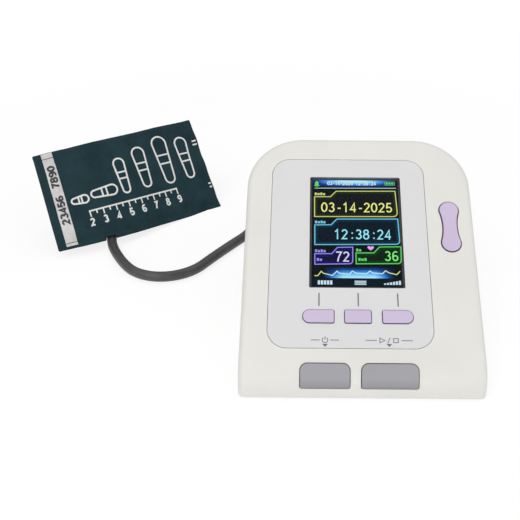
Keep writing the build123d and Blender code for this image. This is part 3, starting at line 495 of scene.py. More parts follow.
@dataclass(frozen=True)
class GlowBand:
    """Screen background with two soft blue bands, on a UV map that counts mm from its middle."""

    name: str
    dark: Colour
    low: Colour
    bright: Colour
    steps: tuple[tuple[float, Colour], ...] = ((0.26, linear(18, 66, 136)), (0.52, linear(62, 146, 226)))
    foot_mm: Point2 = (-24.3, -18.9)
    foot_edge_mm: Point2 = (-25.0, -24.75)
    foot_width_mm: Point3 = (1.0, 7.5, 16.8)
    head_mm: Point2 = (25.4, 28.2)
    head_width_mm: Point3 = (-0.9, 6.0, 22.0)

    def build(self) -> Material:
        """Makes the material.

        Returns:
            The material.
        """
        recipe = Recipe(self.name)
        across, up = recipe.uv_parts()[:2]
        foot = recipe.spread(up, 1.0, 0.0, *self.foot_mm)
        foot = recipe.maths("MULTIPLY", foot, recipe.spread(up, 0.0, 1.0, *self.foot_edge_mm))
        foot = recipe.maths("MULTIPLY", foot, recipe.around(across, *self.foot_width_mm))
        head = recipe.spread(up, 0.0, 1.0, *self.head_mm)
        head = recipe.maths("MULTIPLY", head, recipe.around(across, *self.head_width_mm))
        ramp = recipe.node("ValToRGB", {"Fac": recipe.maths("MAXIMUM", foot, head)})
        ramp.color_ramp.elements[0].color = (*self.dark, 1.0)
        ramp.color_ramp.elements[1].color = (*self.bright, 1.0)
        for place, colour in self.steps:
            ramp.color_ramp.elements.new(place).color = (*colour, 1.0)
        below = recipe.spread(up, 1.0, 0.0, *self.foot_edge_mm)
        return recipe.lit(recipe.tint(below, ramp.outputs["Color"], self.low))


@dataclass(frozen=True)
class GlowFill:
    """Ground of a frame on the screen: lit along its border, dark in its middle."""

    name: str
    border: Colour
    middle: Colour

    def build(self) -> Material:
        """Makes the material.

        Returns:
            The material.
        """
        recipe = Recipe(self.name)
        share = recipe.spread(recipe.uv_parts()[0], 0.0, 1.0, 0.0, 1.0)
        return recipe.lit(recipe.tint(share, self.border, self.middle))


@dataclass(frozen=True)
class GlowPulse:
    """Pulse line: yellow-green at its ends and pale in its middle, on a UV map in mm."""

    name: str
    ends: Colour
    middle: Colour
    pale_mm: Point3 = (0.5, 9.0, 17.0)

    def build(self) -> Material:
        """Makes the material.

        Returns:
            The material.
        """
        recipe = Recipe(self.name)
        share = recipe.around(recipe.uv_parts()[0], *self.pale_mm)
        return recipe.lit(recipe.tint(share, self.ends, self.middle))


@dataclass(frozen=True)
class WovenCloth:
    """Coated woven cloth that follows the piece's own UV map, which counts mm."""

    name: str
    colour: Colour
    thread: Colour
    pitch_mm: float = 0.55
    sheen: float = 0.12
    roughness: float = 0.72
    relief: float = 0.00006

    def build(self) -> Material:
        """Makes the material.

        Returns:
            The material.
        """
        recipe = Recipe(self.name)
        coords = recipe.uv_coords()
        inputs = {"Vector": coords, "Scale": WAVE_RUN / self.pitch_mm, "Distortion": 0.6, "Detail": 1.0}
        weave = recipe.maths("MULTIPLY", *recipe.waves({**inputs, "Detail Scale": 2.0}))
        broad = recipe.noise(coords, 0.07, 5.0)
        worn = recipe.noise(recipe.object_coords(), 260.0, 5.0)
        tone = recipe.maths("ADD", recipe.spread(broad, 0.0, 0.55), recipe.maths("MULTIPLY", worn, 0.3))
        colour = recipe.tint(tone, lighter(self.colour, -0.34), lighter(self.colour, 0.46))
        height = recipe.maths("ADD", weave, recipe.maths("MULTIPLY", worn, 0.6))
        return recipe.shade(
            Base_Color=recipe.tint(recipe.spread(weave, 0.0, 0.5, 0.2, 0.9), colour, self.thread),
            Roughness=self.roughness,
            Specular_IOR_Level=0.08,
            Sheen_Weight=self.sheen,
            Sheen_Roughness=0.4,
            Normal=recipe.bump(height, self.relief),
        )


@dataclass(frozen=True)
class PrintedInk:
    """Ink on cloth or plastic, thin enough to let the weave through and a little worn."""

    name: str
    colour: Colour
    worn: Colour
    wear: float = 0.35

    def build(self) -> Material:
        """Makes the material.

        Returns:
            The material.
        """
        recipe = Recipe(self.name)
        coords = recipe.object_coords()
        fine = recipe.noise(coords, 1500.0, 4.0)
        share = recipe.maths("MULTIPLY", recipe.spread(fine, 0.0, 1.0, 0.52, 0.74), self.wear)
        return recipe.shade(
            Base_Color=recipe.tint(share, self.colour, self.worn),
            Roughness=recipe.spread(recipe.noise(coords, 240.0), 0.5, 0.7),
            Normal=recipe.bump(fine, 0.00002),
        )


@dataclass(frozen=True)
class CircuitBoard:
    """Green board with paler tracks."""

    name: str
    colour: Colour
    track: Colour

    def build(self) -> Material:
        """Makes the material.

        Returns:
            The material.
        """
        recipe = Recipe(self.name)
        inputs = {"Vector": recipe.object_coords(), "Scale": 420.0}
        cells = recipe.node("TexVoronoi", inputs, distance="MANHATTAN").outputs["Distance"]
        return recipe.shade(
            Base_Color=recipe.tint(recipe.spread(cells, 1.0, 0.0, 0.32, 0.36), self.colour, self.track),
            Roughness=0.38,
            Normal=recipe.bump(cells, 0.00002),
        )


class Finish(Enum):
    """Every finish of the object."""

    HOUSING = MouldedPlastic("housing_plastic", linear(230, 229, 224), 0.44)
    # Painted shade: the side colours of the panel and the keys darken the gaps round the keys and the keys'
    # sides, and foot_shade darkens the grey keys towards the table
    PANEL = KeyPlastic(
        "panel_plastic", linear(222, 222, 223), 0.5, 0.000005, 3600.0, 0.012,
        side=linear(160, 154, 164), side_mm=(-0.5, -0.1),
    )
    LILAC = KeyPlastic(
        "lilac_keys", linear(207, 191, 220), 0.5, 0.000008, 3000.0, 0.02, side=linear(96, 70, 114)
    )
    GREY = KeyPlastic(
        "grey_keys", linear(161, 160, 165), 0.5, 0.000012, 2200.0, 0.03,
        side=linear(62, 62, 66), ground=Ground.NOSE, foot_shade=0.27,
    )
    SOCKET = MouldedPlastic("grey_socket", linear(150, 151, 156), 0.5, 0.000012, 2200.0, 0.03)
    INNER = MouldedPlastic("inner_plastic", linear(190, 190, 186), 0.55)
    BLACK = MouldedPlastic("black_plastic", linear(40, 40, 43), 0.5, 0.00001, 2200.0, 0.06)
    CELL = MouldedPlastic("cell_sleeve", linear(60, 90, 120), 0.3, 0.000003, 900.0, 0.05, 0.4)
    STEEL = BrushedMetal("brushed_steel", linear(196, 197, 200))
    BRASS = BrushedMetal("brass", linear(214, 186, 120))
    RUBBER = SoftRubber("foot_rubber", linear(66, 66, 68), linear(92, 92, 94), 0.7)
    HOSE = SoftRubber("hose_rubber", linear(66, 65, 67), linear(84, 82, 84), 0.38)
    CLEAR_TUBE = SoftRubber("tube_rubber", linear(205, 205, 200), linear(222, 222, 218), 0.35)
    BOARD = CircuitBoard("circuit_board", linear(38, 98, 62), linear(86, 146, 92))
    WINDOW = ClearPlate("window_plate", (0.97, 0.975, 0.98))
    CLOTH = WovenCloth("cuff_cloth", linear(35, 57, 63), linear(44, 69, 76), 0.55, 0.02, 0.78)
    TAPE = WovenCloth("index_tape", linear(212, 210, 209), linear(228, 226, 225), 0.8, 0.05, 0.75)
    NAP = WovenCloth("hook_and_loop", linear(28, 40, 45), linear(50, 66, 72), 1.1, 0.3, 0.9, 0.0004)
    THREAD = PrintedInk("sewing_thread", linear(20, 32, 38), linear(60, 82, 88), 0.5)
    WHITE_INK = PrintedInk("white_ink", linear(226, 228, 226), linear(130, 142, 146), 0.3)
    DARK_INK = PrintedInk("dark_ink", linear(52, 54, 58), linear(110, 112, 116), 0.3)
    PRINT = PrintedInk("panel_ink", linear(104, 105, 109), linear(140, 141, 145), 0.3)
    GREY_INK = PrintedInk("grey_ink", linear(132, 133, 137), linear(165, 166, 170), 0.3)
    BEZEL = MouldedPlastic("screen_bezel", linear(62, 60, 63), 0.6, 0.000003, 2000.0, 0.05)
    SCREEN = GlowBand("screen_background", linear(6, 15, 18), linear(5, 24, 30), linear(172, 236, 252))
    YELLOW = Glow("glow_yellow", linear(212, 218, 128))
    YELLOW_DIGITS = Glow("glow_yellow_digits", linear(238, 240, 138))
    YELLOW_FILL = GlowFill("glow_yellow_fill", linear(40, 56, 2), linear(14, 20, 22))
    CYAN = Glow("glow_cyan", linear(122, 206, 230))
    CYAN_DIGITS = Glow("glow_cyan_digits", linear(152, 236, 250))
    CYAN_FILL = GlowFill("glow_cyan_fill", linear(3, 62, 92), linear(5, 23, 36))
    VIOLET = Glow("glow_violet", linear(156, 146, 242))
    VIOLET_DIGITS = Glow("glow_violet_digits", linear(222, 218, 255))
    VIOLET_FILL = GlowFill("glow_violet_fill", linear(26, 17, 116), linear(11, 15, 53))
    GREEN = Glow("glow_green", linear(104, 218, 108))
    GREEN_DIGITS = Glow("glow_green_digits", linear(128, 240, 122))
    GREEN_FILL = GlowFill("glow_green_fill", linear(2, 74, 15), linear(9, 31, 17))
    PINK = Glow("glow_pink", linear(240, 168, 236))
    PALE = Glow("glow_pale", linear(206, 228, 244))
    PULSE = GlowPulse("glow_pulse", linear(214, 222, 136), linear(186, 240, 252))

    def material(self) -> Material:
        """The material of this finish, made once."""
        known = bpy.data.materials.get(f"{self.value.name}{FINISH_MARK}")
        return known if known else self.value.build()


def new_object(name: str, data: bpy.types.ID) -> bpy.types.Object:
    """Puts new data into the scene as an object.

    Args:
        name: Name of the object.
        data: Its mesh, curve, lamp or camera.

    Returns:
        The object.
    """
    made = bpy.data.objects.new(name, data)
    bpy.context.scene.collection.objects.link(made)
    return made


def add_piece(
    name: str, mesh: Mesh, finish: Finish, body: str, place: Matrix | None = None, smooth: bool = False
) -> bpy.types.Object:
    """Turns a finished bmesh into a piece that rides on a body.

    Args:
        name: Name of the piece.
        mesh: The shape, which is used up.
        finish: Its finish.
        body: The body it moves with, or nothing for a piece that is attached to no body.
        place: Matrix from the drawing to the frame, or None if the shape is in place.
        smooth: Whether its faces are shaded smooth.

    Returns:
        The new object.
    """
    if place is not None:
        mesh.transform(place)
    for face in mesh.faces:
        face.smooth = smooth
    data = bpy.data.meshes.new(name)
    mesh.to_mesh(data)
    mesh.free()
    data.materials.append(finish.material())
    piece = new_object(name, data)
    if body:
        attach(piece, body)
    log.info("%s: %d faces", name, len(data.polygons))
    return piece


def round_edges(piece: bpy.types.Object, width_mm: float) -> None:
    """Rounds the sharp edges of a piece of cloth.

    Args:
        piece: The piece.
        width_mm: Width of the rounding.
    """
    rounding = piece.modifiers.new("rounded_edges", "BEVEL")
    rounding.width = width_mm * MM
    rounding.segments = 2
    rounding.limit_method = "ANGLE"
    rounding.angle_limit = math.radians(50)


def outline_face(mesh: Mesh, points: Sequence[Point2]) -> bmesh.types.BMFace:
    """One flat face with the given corners, in order against the clock."""
    return mesh.faces.new([mesh.verts.new((x, y, 0.0)) for x, y in points])


def block(mesh: Mesh, left: float, low: float, right: float, top: float) -> bmesh.types.BMFace:
    """One flat face with level and upright sides."""
    return outline_face(mesh, ((left, low), (right, low), (right, top), (left, top)))


def face_out(mesh: Mesh) -> None:
    """Turns every face outwards."""
    bmesh.ops.recalc_face_normals(mesh, faces=mesh.faces[:])


def raise_faces(mesh: Mesh, thickness: float) -> None:
    """Gives flat faces a thickness upwards and closes them below.

    Args:
        mesh: The flat faces.
        thickness: The thickness.
    """
    made = bmesh.ops.extrude_face_region(mesh, geom=mesh.faces[:], use_keep_orig=True)
    lifted = [item for item in made["geom"] if isinstance(item, bmesh.types.BMVert)]
    bmesh.ops.translate(mesh, verts=lifted, vec=(0, 0, thickness))
    face_out(mesh)


def drawn_place(corner: bmesh.types.BMLoop) -> Vector:
    """Place of a face's corner on its drawing."""
    return corner.vert.co.xy


def map_uv(mesh: Mesh, rule: Callable[[bmesh.types.BMLoop], Sequence[float]] = drawn_place) -> None:
    """Gives a mesh its UV map.

    Args:
        mesh: Takes the map.
        rule: Gives the place of a face's corner on the map.
    """
    layer = mesh.loops.layers.uv.new("UVMap")
    for face in mesh.faces:
        for corner in face.loops:
            corner[layer].uv = rule(corner)


def ribbon(mesh: Mesh, points: Sequence[Point2], width: float, closed: bool = False) -> None:
    """Draws a line of even width through the points, as one row of flat faces.

    Args:
        mesh: Takes the faces.
        points: Corners of the line.
        width: Width of the line.
        closed: Whether the last point joins the first.
    """
    count = len(points)
    sides = []
    for index, point in enumerate(points):
        here = Vector(point)
        before = Vector(points[index - 1]) if closed or index else here
        after = Vector(points[(index + 1) % count]) if closed or index < count - 1 else here
        first = (here - before).normalized() if (here - before).length else (after - here).normalized()
        second = (after - here).normalized() if (after - here).length else first
        middle = (first + second).normalized()
        across = Vector((-middle.y, middle.x))
        reach = width / 2 / max(0.5, across.dot(Vector((-first.y, first.x))))
        sides.append([mesh.verts.new((*(here + across * reach * way), 0.0)) for way in (1, -1)])
    pairs = zip(sides, sides[1:] + sides[:1]) if closed else zip(sides, sides[1:])
    for (left, right), (next_left, next_right) in pairs:
        mesh.faces.new((right, next_right, next_left, left))


def swell(mesh: Mesh, held: Callable[[Vector], bool], pressure: float, cap: float) -> None:
    """Lets a sheet drawn in mm swell and crease as cloth between the places that are held.

    Args:
        mesh: The sheet, whose points are moved.
        held: Tells whether a place stays where it is.
        pressure: Force from behind.
        cap: Largest move of a point, in mm.
    """
    mesh.verts.index_update()
    before = [vert.co.copy() for vert in mesh.verts]
    data = bpy.data.meshes.new("sheet")
    mesh.to_mesh(data)
    data.transform(Matrix.Scale(CLOTH_SCALE, 4))
    sheet = new_object("sheet", data)
    group = sheet.vertex_groups.new(name="held")
    group.add([index for index, place in enumerate(before) if held(place)], 1.0, "REPLACE")
    cloth = sheet.modifiers.new("cloth", "CLOTH")
    for key, value in CLOTH_SETTINGS.items():
        setattr(cloth.settings, key, value)
    cloth.settings.uniform_pressure_force = pressure
    cloth.settings.effector_weights.gravity = 0
    cloth.point_cache.frame_end = CLOTH_FRAMES
    for frame in range(1, CLOTH_FRAMES + 1):
        bpy.context.scene.frame_set(frame)
    shaped = sheet.evaluated_get(bpy.context.evaluated_depsgraph_get())
    after = [vertex.co / CLOTH_SCALE for vertex in shaped.data.vertices]
    bpy.context.scene.frame_set(1)
    bpy.data.objects.remove(sheet)
    bpy.data.meshes.remove(data)
    most = 0.0
    for vert, old, new in zip(mesh.verts, before, after):
        move = new - old
        most = max(most, move.length)
        if move.length > cap:
            move *= cap / move.length
        vert.co = old + move
    mesh.normal_update()
    log.info("cloth of %d points, largest move %.2f mm", len(before), most)


def bow(middle: Point2, reach: Point2, start: float, end: float, steps: int = 12) -> tuple[Point2, ...]:
    """Points along part of an ellipse.

    Args:
        middle: Its middle.
        reach: Its half width and half height.
        start: Angle of the first point in degrees, from the right against the clock.
        end: Angle of the last point in degrees.
        steps: Number of pieces.

    Returns:
        The points.
    """
    (x, y), (wide, tall) = middle, reach
    turns = (math.radians(start + (end - start) * step / steps) for step in range(steps + 1))
    return tuple((x + wide * math.cos(turn), y + tall * math.sin(turn)) for turn in turns)


def ring(middle: Point2, reach: Point2) -> tuple[Point2, ...]:
    """Points round a whole ellipse, for a closed stroke."""
    return bow(middle, reach, 0, 345, 23)


@dataclass(frozen=True)
class Figures:
    """Plain figures drawn with strokes of one width, one unit tall.

    Each figure is a row of strokes, and each stroke its points and whether it closes.
    """

    pitch: float = 0.67
    gap: float = 0.59
    shapes: dict[str, tuple[tuple[tuple[Point2, ...], bool], ...]] = field(
        default_factory=lambda: {
            "0": ((ring((0.27, 0.5), (0.23, 0.44)), True),),
            "1": ((((0.1, 0.76), (0.2, 0.82), (0.31, 0.97), (0.31, 0.0)), False),),
            "2": (((*bow((0.27, 0.7), (0.21, 0.24), 165, -25), (0.06, 0.06), (0.52, 0.06)), False),),
            "3": (
                (bow((0.26, 0.73), (0.19, 0.21), 155, -90), False),
                (bow((0.26, 0.29), (0.22, 0.23), 90, -160), False),
            ),
            "4": ((((0.4, 0.0), (0.4, 0.95), (0.05, 0.27), (0.54, 0.27)), False),),
            "5": (
                (
                    ((0.48, 0.94), (0.13, 0.94), (0.08, 0.49), *bow((0.27, 0.31), (0.22, 0.25), 125, -155)),
                    False,
                ),
            ),
            "6": (
                (ring((0.27, 0.3), (0.21, 0.24)), True),
                ((*bow((0.31, 0.55), (0.26, 0.39), 55, 180, 8), (0.06, 0.32)), False),
            ),
            "7": ((((0.05, 0.94), (0.51, 0.94), (0.34, 0.6), (0.24, 0.3), (0.2, 0.0)), False),),
            "8": ((ring((0.27, 0.74), (0.18, 0.2)), True), (ring((0.27, 0.29), (0.22, 0.24)), True)),
            "9": (
                (ring((0.27, 0.7), (0.21, 0.24)), True),
                ((*bow((0.23, 0.45), (0.26, 0.39), -125, 0, 8), (0.48, 0.68)), False),
            ),
            "-": ((((0.14, 0.4), (0.42, 0.4)), False),),
            ":": ((((0.29, 0.06), (0.29, 0.2)), False), (((0.29, 0.56), (0.29, 0.7)), False)),
            " ": (),
        }
    )

    def draw(self, mesh: Mesh, line: str, left: float, foot: float, tall: float, stroke: float) -> None:
        """Draws one line of figures.

        Args:
            mesh: Takes the faces.
            line: The figures.
            left: Place of its left end.
            foot: Place of its lower edge.
            tall: Height of the figures.
            stroke: Width of the strokes.
        """
        for mark in line:
            for points, closed in self.shapes[mark]:
                ribbon(mesh, [(left + x * tall, foot + y * tall) for x, y in points], stroke, closed)
            left += (self.pitch if mark.isdigit() else self.gap) * tall


@dataclass
class Housing:
    """The rigid pieces, which keep their solids and get their finishes."""

    finishes: dict[Finish, tuple[str, ...]] = field(
        default_factory=lambda: {
            Finish.HOUSING: ("front_cover", "base_shell", "battery_door"),
            Finish.PANEL: ("face_panel",),
            Finish.LILAC: ("soft_key_left", "soft_key_middle", "soft_key_right", "rocker_key"),
            Finish.GREY: ("power_key", "start_key"),
            Finish.SOCKET: ("air_socket", "air_plug"),
            Finish.INNER: ("display_tray", "pump_head", "air_manifold"),
            Finish.BLACK: (
                "soft_switches", "rocker_switches", "chin_switches", "pressure_sensor", "buzzer",
                "power_jack", "probe_socket",
            ),
            Finish.CELL: tuple(f"battery_cell_{number}" for number in range(1, 5)),
            Finish.STEEL: (
                "case_screws", "board_screws", "rocker_pin", "contact_springs", "contact_plates",
                "pump_motor", "release_valve", "data_port",
            ),
            Finish.BRASS: ("display_ribbon",),
            Finish.RUBBER: ("foot_1", "foot_2", "foot_3", "foot_4", "pump_cradle", "bladder"),
            Finish.HOSE: ("hose_port",),
            Finish.CLEAR_TUBE: ("socket_tube", "valve_tube", "pump_tube", "sensor_tube"),
            Finish.BOARD: ("main_board", "side_board", "chin_board"),
            Finish.WINDOW: ("display_window",),
            Finish.BEZEL: ("display_glass",),
        }
    )

    def dress(self, nodes: dict[str, bpy.types.Object]) -> None:
        """Gives every rigid node its finish.

        Args:
            nodes: The frame's nodes by name.
        """
        for finish, names in self.finishes.items():
            for name in names:
                data = nodes[name].data
                data.materials.clear()
                data.materials.append(finish.material())
        log.info("finished %d rigid pieces", sum(len(names) for names in self.finishes.values()))


@dataclass
class ScreenFrame:
    """One notched frame on the screen, with its figures and small marks."""

    name: str
    corners: tuple[Point2, ...]
    line: Finish
    fill: Finish
    digits: Finish
    text: str
    text_foot: Point2
    tall: float
    label: Point2
    blocks: int
    unit: Point2 | None = None
    unit_blocks: int = 0


@dataclass
class ScreenPicture:
    """What the lit display shows, drawn in mm round the middle of the window."""

    middle: Point2 = (-1.8, 63.55)
    half: Point2 = (22.4, 30.25)
    depth: float = 1.32
    line_width: float = 0.48
    border_width: float = 0.9
    lit_width: float = 1.9
    line_lift: float = 0.02
    top_lift: float = 0.024
    bell_place: Point2 = (-19.2, 27.0)
    figures: Figures = field(default_factory=Figures)
    frames: tuple[ScreenFrame, ...] = (
        ScreenFrame(
            "upper",
            (
                (-20.3, 19.6), (-20.2, 8.3), (18.3, 8.6), (20.6, 10.8), (20.0, 23.2), (-9.5, 22.9),
                (-12.4, 19.7),
            ),
            Finish.YELLOW, Finish.YELLOW_FILL, Finish.YELLOW_DIGITS,
            "03-14-2025", (-16.9, 10.9), 5.45, (-20.2, 20.5), 4,
        ),
        ScreenFrame(
            "middle",
            ((-20.1, 3.6), (-20.0, -7.2), (19.0, -6.7), (21.1, -4.7), (20.7, 7.3), (-9.2, 7.0), (-12.1, 3.8)),
            Finish.CYAN, Finish.CYAN_FILL, Finish.CYAN_DIGITS,
            "12:38:24", (-10.7, -4.15), 5.45, (-20.0, 4.5), 4,
        ),
        ScreenFrame(
            "left",
            (
                (-20.0, -12.1), (-19.9, -17.7), (-3.2, -17.3), (-1.8, -15.3), (-1.7, -8.4), (-9.1, -8.6),
                (-11.8, -12.0),
            ),
            Finish.VIOLET, Finish.VIOLET_FILL, Finish.VIOLET_DIGITS,
            "72", (-10.0, -16.2), 5.4, (-19.9, -11.3), 4, (-19.0, -15.9), 2,
        ),
        ScreenFrame(
            "right",
            (
                (-0.2, -11.5), (-0.2, -17.3), (19.8, -17.0), (21.4, -15.0), (21.5, -8.0), (11.2, -8.2),
                (8.4, -11.4),
            ),
            Finish.GREEN, Finish.GREEN_FILL, Finish.GREEN_DIGITS,
            "36", (13.6, -15.7), 5.35, (-0.1, -10.7), 2, (0.9, -15.7), 3,
        ),
    )
    pulse: tuple[Point2, ...] = (
        (-20.0, -23.7), (-18.4, -23.6), (-16.9, -21.4), (-15.8, -22.4), (-11.5, -23.5), (-9.4, -21.2),
        (-8.2, -22.3), (-3.5, -22.8), (-2.1, -21.1), (-0.4, -22.2), (4.6, -22.5), (6.3, -21.0), (7.5, -22.0),
        (12.2, -22.4), (13.7, -20.8), (15.3, -21.9), (18.9, -22.8), (20.6, -21.0),
    )

    def build(self) -> None:
        """Makes every piece of the picture."""
        self.background()
        for frame in self.frames:
            self.notched(frame)
        self.status()
        self.heart()
        self.wave()
        self.foot_marks()

    def show(self, name: str, mesh: Mesh, finish: Finish, lift: float = 0.0) -> None:
        """Adds one piece of the picture, lifted by some mm."""
        add_piece(f"screen_{name}", mesh, finish, "monitor", on_face(*self.middle, self.depth - lift))

    def background(self) -> None:
        """Dark ground with its blue bands, and the dull border round it."""
        wide, high = self.half
        mesh = bmesh.new()
        block(mesh, -wide, -high, wide, high)
        map_uv(mesh)
        self.show("ground", mesh, Finish.SCREEN)
        mesh = bmesh.new()
        outer = block(mesh, -wide, -high, wide, high)
        mesh.normal_update()
        bmesh.ops.inset_individual(mesh, faces=[outer], thickness=self.border_width, use_even_offset=True)
        bmesh.ops.delete(mesh, geom=[outer], context="FACES")
        self.show("border", mesh, Finish.BEZEL, 0.012)

    def notched(self, frame: ScreenFrame) -> None:
        """One frame: ground, line, figures and the small blocks in its tab.

        Args:
            frame: The frame.
        """
        mesh = bmesh.new()
        corners = self.rounded(frame.corners)
        middle = outline_face(mesh, corners)
        mesh.normal_update()
        bmesh.ops.inset_individual(mesh, faces=[middle], thickness=self.lit_width, use_even_offset=True)
        inner = set(middle.verts)
        map_uv(mesh, lambda corner: (1.0 if corner.vert in inner else 0.0, 0.5))
        self.show(f"{frame.name}_ground", mesh, frame.fill, 0.014)
        mesh = bmesh.new()
        ribbon(mesh, corners, self.line_width, closed=True)
        self.blocks(mesh, frame.label, frame.blocks, 1.05)
        if frame.unit:
            self.blocks(mesh, frame.unit, frame.unit_blocks, 1.1)
        face_out(mesh)
        self.show(f"{frame.name}_line", mesh, frame.line, self.line_lift)
        mesh = bmesh.new()
        self.figures.draw(mesh, frame.text, *frame.text_foot, frame.tall, 0.7)
        face_out(mesh)
        self.show(f"{frame.name}_figures", mesh, frame.digits, self.top_lift)

    def rounded(self, corners: Sequence[Point2]) -> list[Point2]:
        """The corners of a frame, with its lower right one drawn as a bow.

        Args:
            corners: Corners of the frame, of which the third and fourth bound the bow.

        Returns:
            The corners with the points of the bow between them.
        """
        start, end = Vector(corners[2]), Vector(corners[3])
        corner = Vector((end.x - 0.1, start.y + 0.05))
        points = []
        for step in range(6):
            share = step / 5
            point = start * (1 - share) ** 2 + corner * 2 * share * (1 - share) + end * share**2
            points.append((point.x, point.y))
        return [*corners[:2], *points, *corners[4:]]

    def blocks(self, mesh: Mesh, start: Point2, count: int, wide: float) -> None:
        """Row of small upright blocks, every second one lower.

        Args:
            mesh: Takes the faces.
            start: Lower left corner of the row.
            count: Number of blocks.
            wide: Width of a block.
        """
        for step in range(count):
            left = start[0] + step * (wide + 0.32)
            block(mesh, left, start[1], left + wide, start[1] + 1.5 * (0.8 if step % 2 else 1.0))

    def status(self) -> None:
        """Head of the screen: a row of figures, a fine line, a bell and a battery."""
        mesh = bmesh.new()
        self.figures.draw(mesh, "03-14-2025 12:38:24", -13.9, 26.55, 2.0, 0.46)
        ribbon(mesh, ((-20.3, 24.6), (20.5, 24.9)), 0.34)
        face_out(mesh)
        self.show("head_figures", mesh, Finish.PALE, self.line_lift)
        mesh = bmesh.new()
        side = ((1.5, -1.1), (0.95, -0.4), (0.85, 0.8), (0.35, 1.7))
        bell = [(-1.5, -1.1), *side, *((-x, y) for x, y in side[:0:-1])]
        outline_face(mesh, [(x + self.bell_place[0], y + self.bell_place[1]) for x, y in bell])
        clapper = ((-0.4, 0), (0.4, 0), (0.4, 0.35), (-0.4, 0.35))
        outline_face(mesh, [(x + self.bell_place[0], y + 25.4) for x, y in clapper])
        ribbon(mesh, ((15.1, 26.7), (19.9, 26.7), (19.9, 28.5), (15.1, 28.5)), 0.26, closed=True)
        for step in range(3):
            left = 15.6 + step * 1.35
            block(mesh, left, 27.1, left + 0.95, 28.1)
        face_out(mesh)
        self.show("bell_and_battery", mesh, Finish.GREEN, self.line_lift)

    def heart(self) -> None:
        """Small heart over the right frame."""
        mesh = bmesh.new()
        points = []
        for step in range(24):
            turn = math.tau * step / 24
            x = 16 * math.sin(turn) ** 3
            y = 13 * math.cos(turn) - 5 * math.cos(2 * turn) - 2 * math.cos(3 * turn) - math.cos(4 * turn)
            points.append((6.95 - x * 0.1, -8.8 + y * 0.088))
        outline_face(mesh, points)
        face_out(mesh)
        self.show("heart", mesh, Finish.PINK, self.top_lift)

    def wave(self) -> None:
        """Pulse line over the lower blue band."""
        mesh = bmesh.new()
        ribbon(mesh, self.pulse, 0.5)
        face_out(mesh)
        map_uv(mesh)
        self.show("pulse_line", mesh, Finish.PULSE, self.line_lift)

    def foot_marks(self) -> None:
        """Plain marks over the soft keys: a row of blocks, a stack of lines and a step chart."""
        mesh = bmesh.new()
        for step in range(5):
            left = -18.5 + step * 1.45
            block(mesh, left, -28.2, left + 1.1, -26.1)
        for step in range(3):
            level = -28.2 + step * 0.78
            block(mesh, -1.1, level, 4.4, level + 0.52)
        for step in range(6):
            left = 12.7 + step * 1.4
            block(mesh, left, -28.1, left + 1.05, -27.4 + step * 0.28)
        self.show("foot_marks", mesh, Finish.PALE, self.line_lift)


@dataclass
class FacePrints:
    """Fine lines and signs printed on the panel, in mm on the face."""

    tick_places: tuple[float, ...] = (-19.7, -1.5, 16.9)
    tick_span: Point2 = (23.9, 30.5)
    arrow_places: tuple[Point2, ...] = ((-16.9, 4.1), (12.1, 4.3))
    arrow_size: Point2 = (1.3, 1.45)
    sign_height: float = 7.4
    sign_stroke: float = 0.44
    ink: float = 0.02

    def build(self) -> None:
        """Makes the printed pieces."""
        mesh = bmesh.new()
        low, high = self.tick_span
        for u in self.tick_places:
            ribbon(mesh, ((u, low), (u, high)), 0.6)
        half, tall = self.arrow_size
        for u, v in self.arrow_places:
            outline_face(mesh, ((u - half, v + tall), (u, v), (u + half, v + tall)))
        self.print_on("panel_ticks", mesh, Finish.PRINT)
        mesh = bmesh.new()
        self.power_sign(mesh, self.arrow_places[0][0], self.sign_height)
        self.run_sign(mesh, self.arrow_places[1][0], self.sign_height)
        self.print_on("panel_signs", mesh, Finish.GREY_INK)

    def print_on(self, name: str, mesh: Mesh, finish: Finish) -> None:
        """Gives a drawing the thickness of ink and lays it on the panel.

        Args:
            name: Name of the piece.
            mesh: The drawing.
            finish: Its ink.
        """
        face_out(mesh)
        raise_faces(mesh, self.ink)
        add_piece(name, mesh, finish, "monitor", on_face(0, 0, -0.004))

    def side_lines(self, mesh: Mesh, u: float, v: float, start: float, end: float) -> None:
        """Level line on either side of a sign, from start to end away from its middle."""
        for way in (-1, 1):
            ribbon(mesh, ((u + way * start, v), (u + way * end, v)), self.sign_stroke)

    def power_sign(self, mesh: Mesh, u: float, v: float) -> None:
        """Open ring with a stroke at its top, between two short lines.

        Args:
            mesh: Takes the faces.
            u: Place of its middle to the right.
            v: Place of its middle up the face.
        """
        ribbon(mesh, bow((u, v), (1.25, 1.25), 125, 415, 24), self.sign_stroke)
        ribbon(mesh, ((u, v + 0.2), (u, v + 1.7)), self.sign_stroke)
        self.side_lines(mesh, u, v, 2.4, 6.3)

    def run_sign(self, mesh: Mesh, u: float, v: float) -> None:
        """Triangle, thin stroke and square for run and stop, between two lines.

        Args:
            mesh: Takes the faces.
            u: Place of its middle to the right.
            v: Place of its middle up the face.
        """
        ribbon(mesh, ((u - 4.2, v - 1.1), (u - 1.9, v), (u - 4.2, v + 1.1)), self.sign_stroke, closed=True)
        ribbon(mesh, ((u - 0.7, v - 1.3), (u + 0.5, v + 1.3)), self.sign_stroke)
        square = ((u + 2.0, v - 0.95), (u + 4.1, v - 0.95), (u + 4.1, v + 0.95), (u + 2.0, v + 0.95))
        ribbon(mesh, square, self.sign_stroke, closed=True)
        self.side_lines(mesh, u, v, 5.6, 10.7)


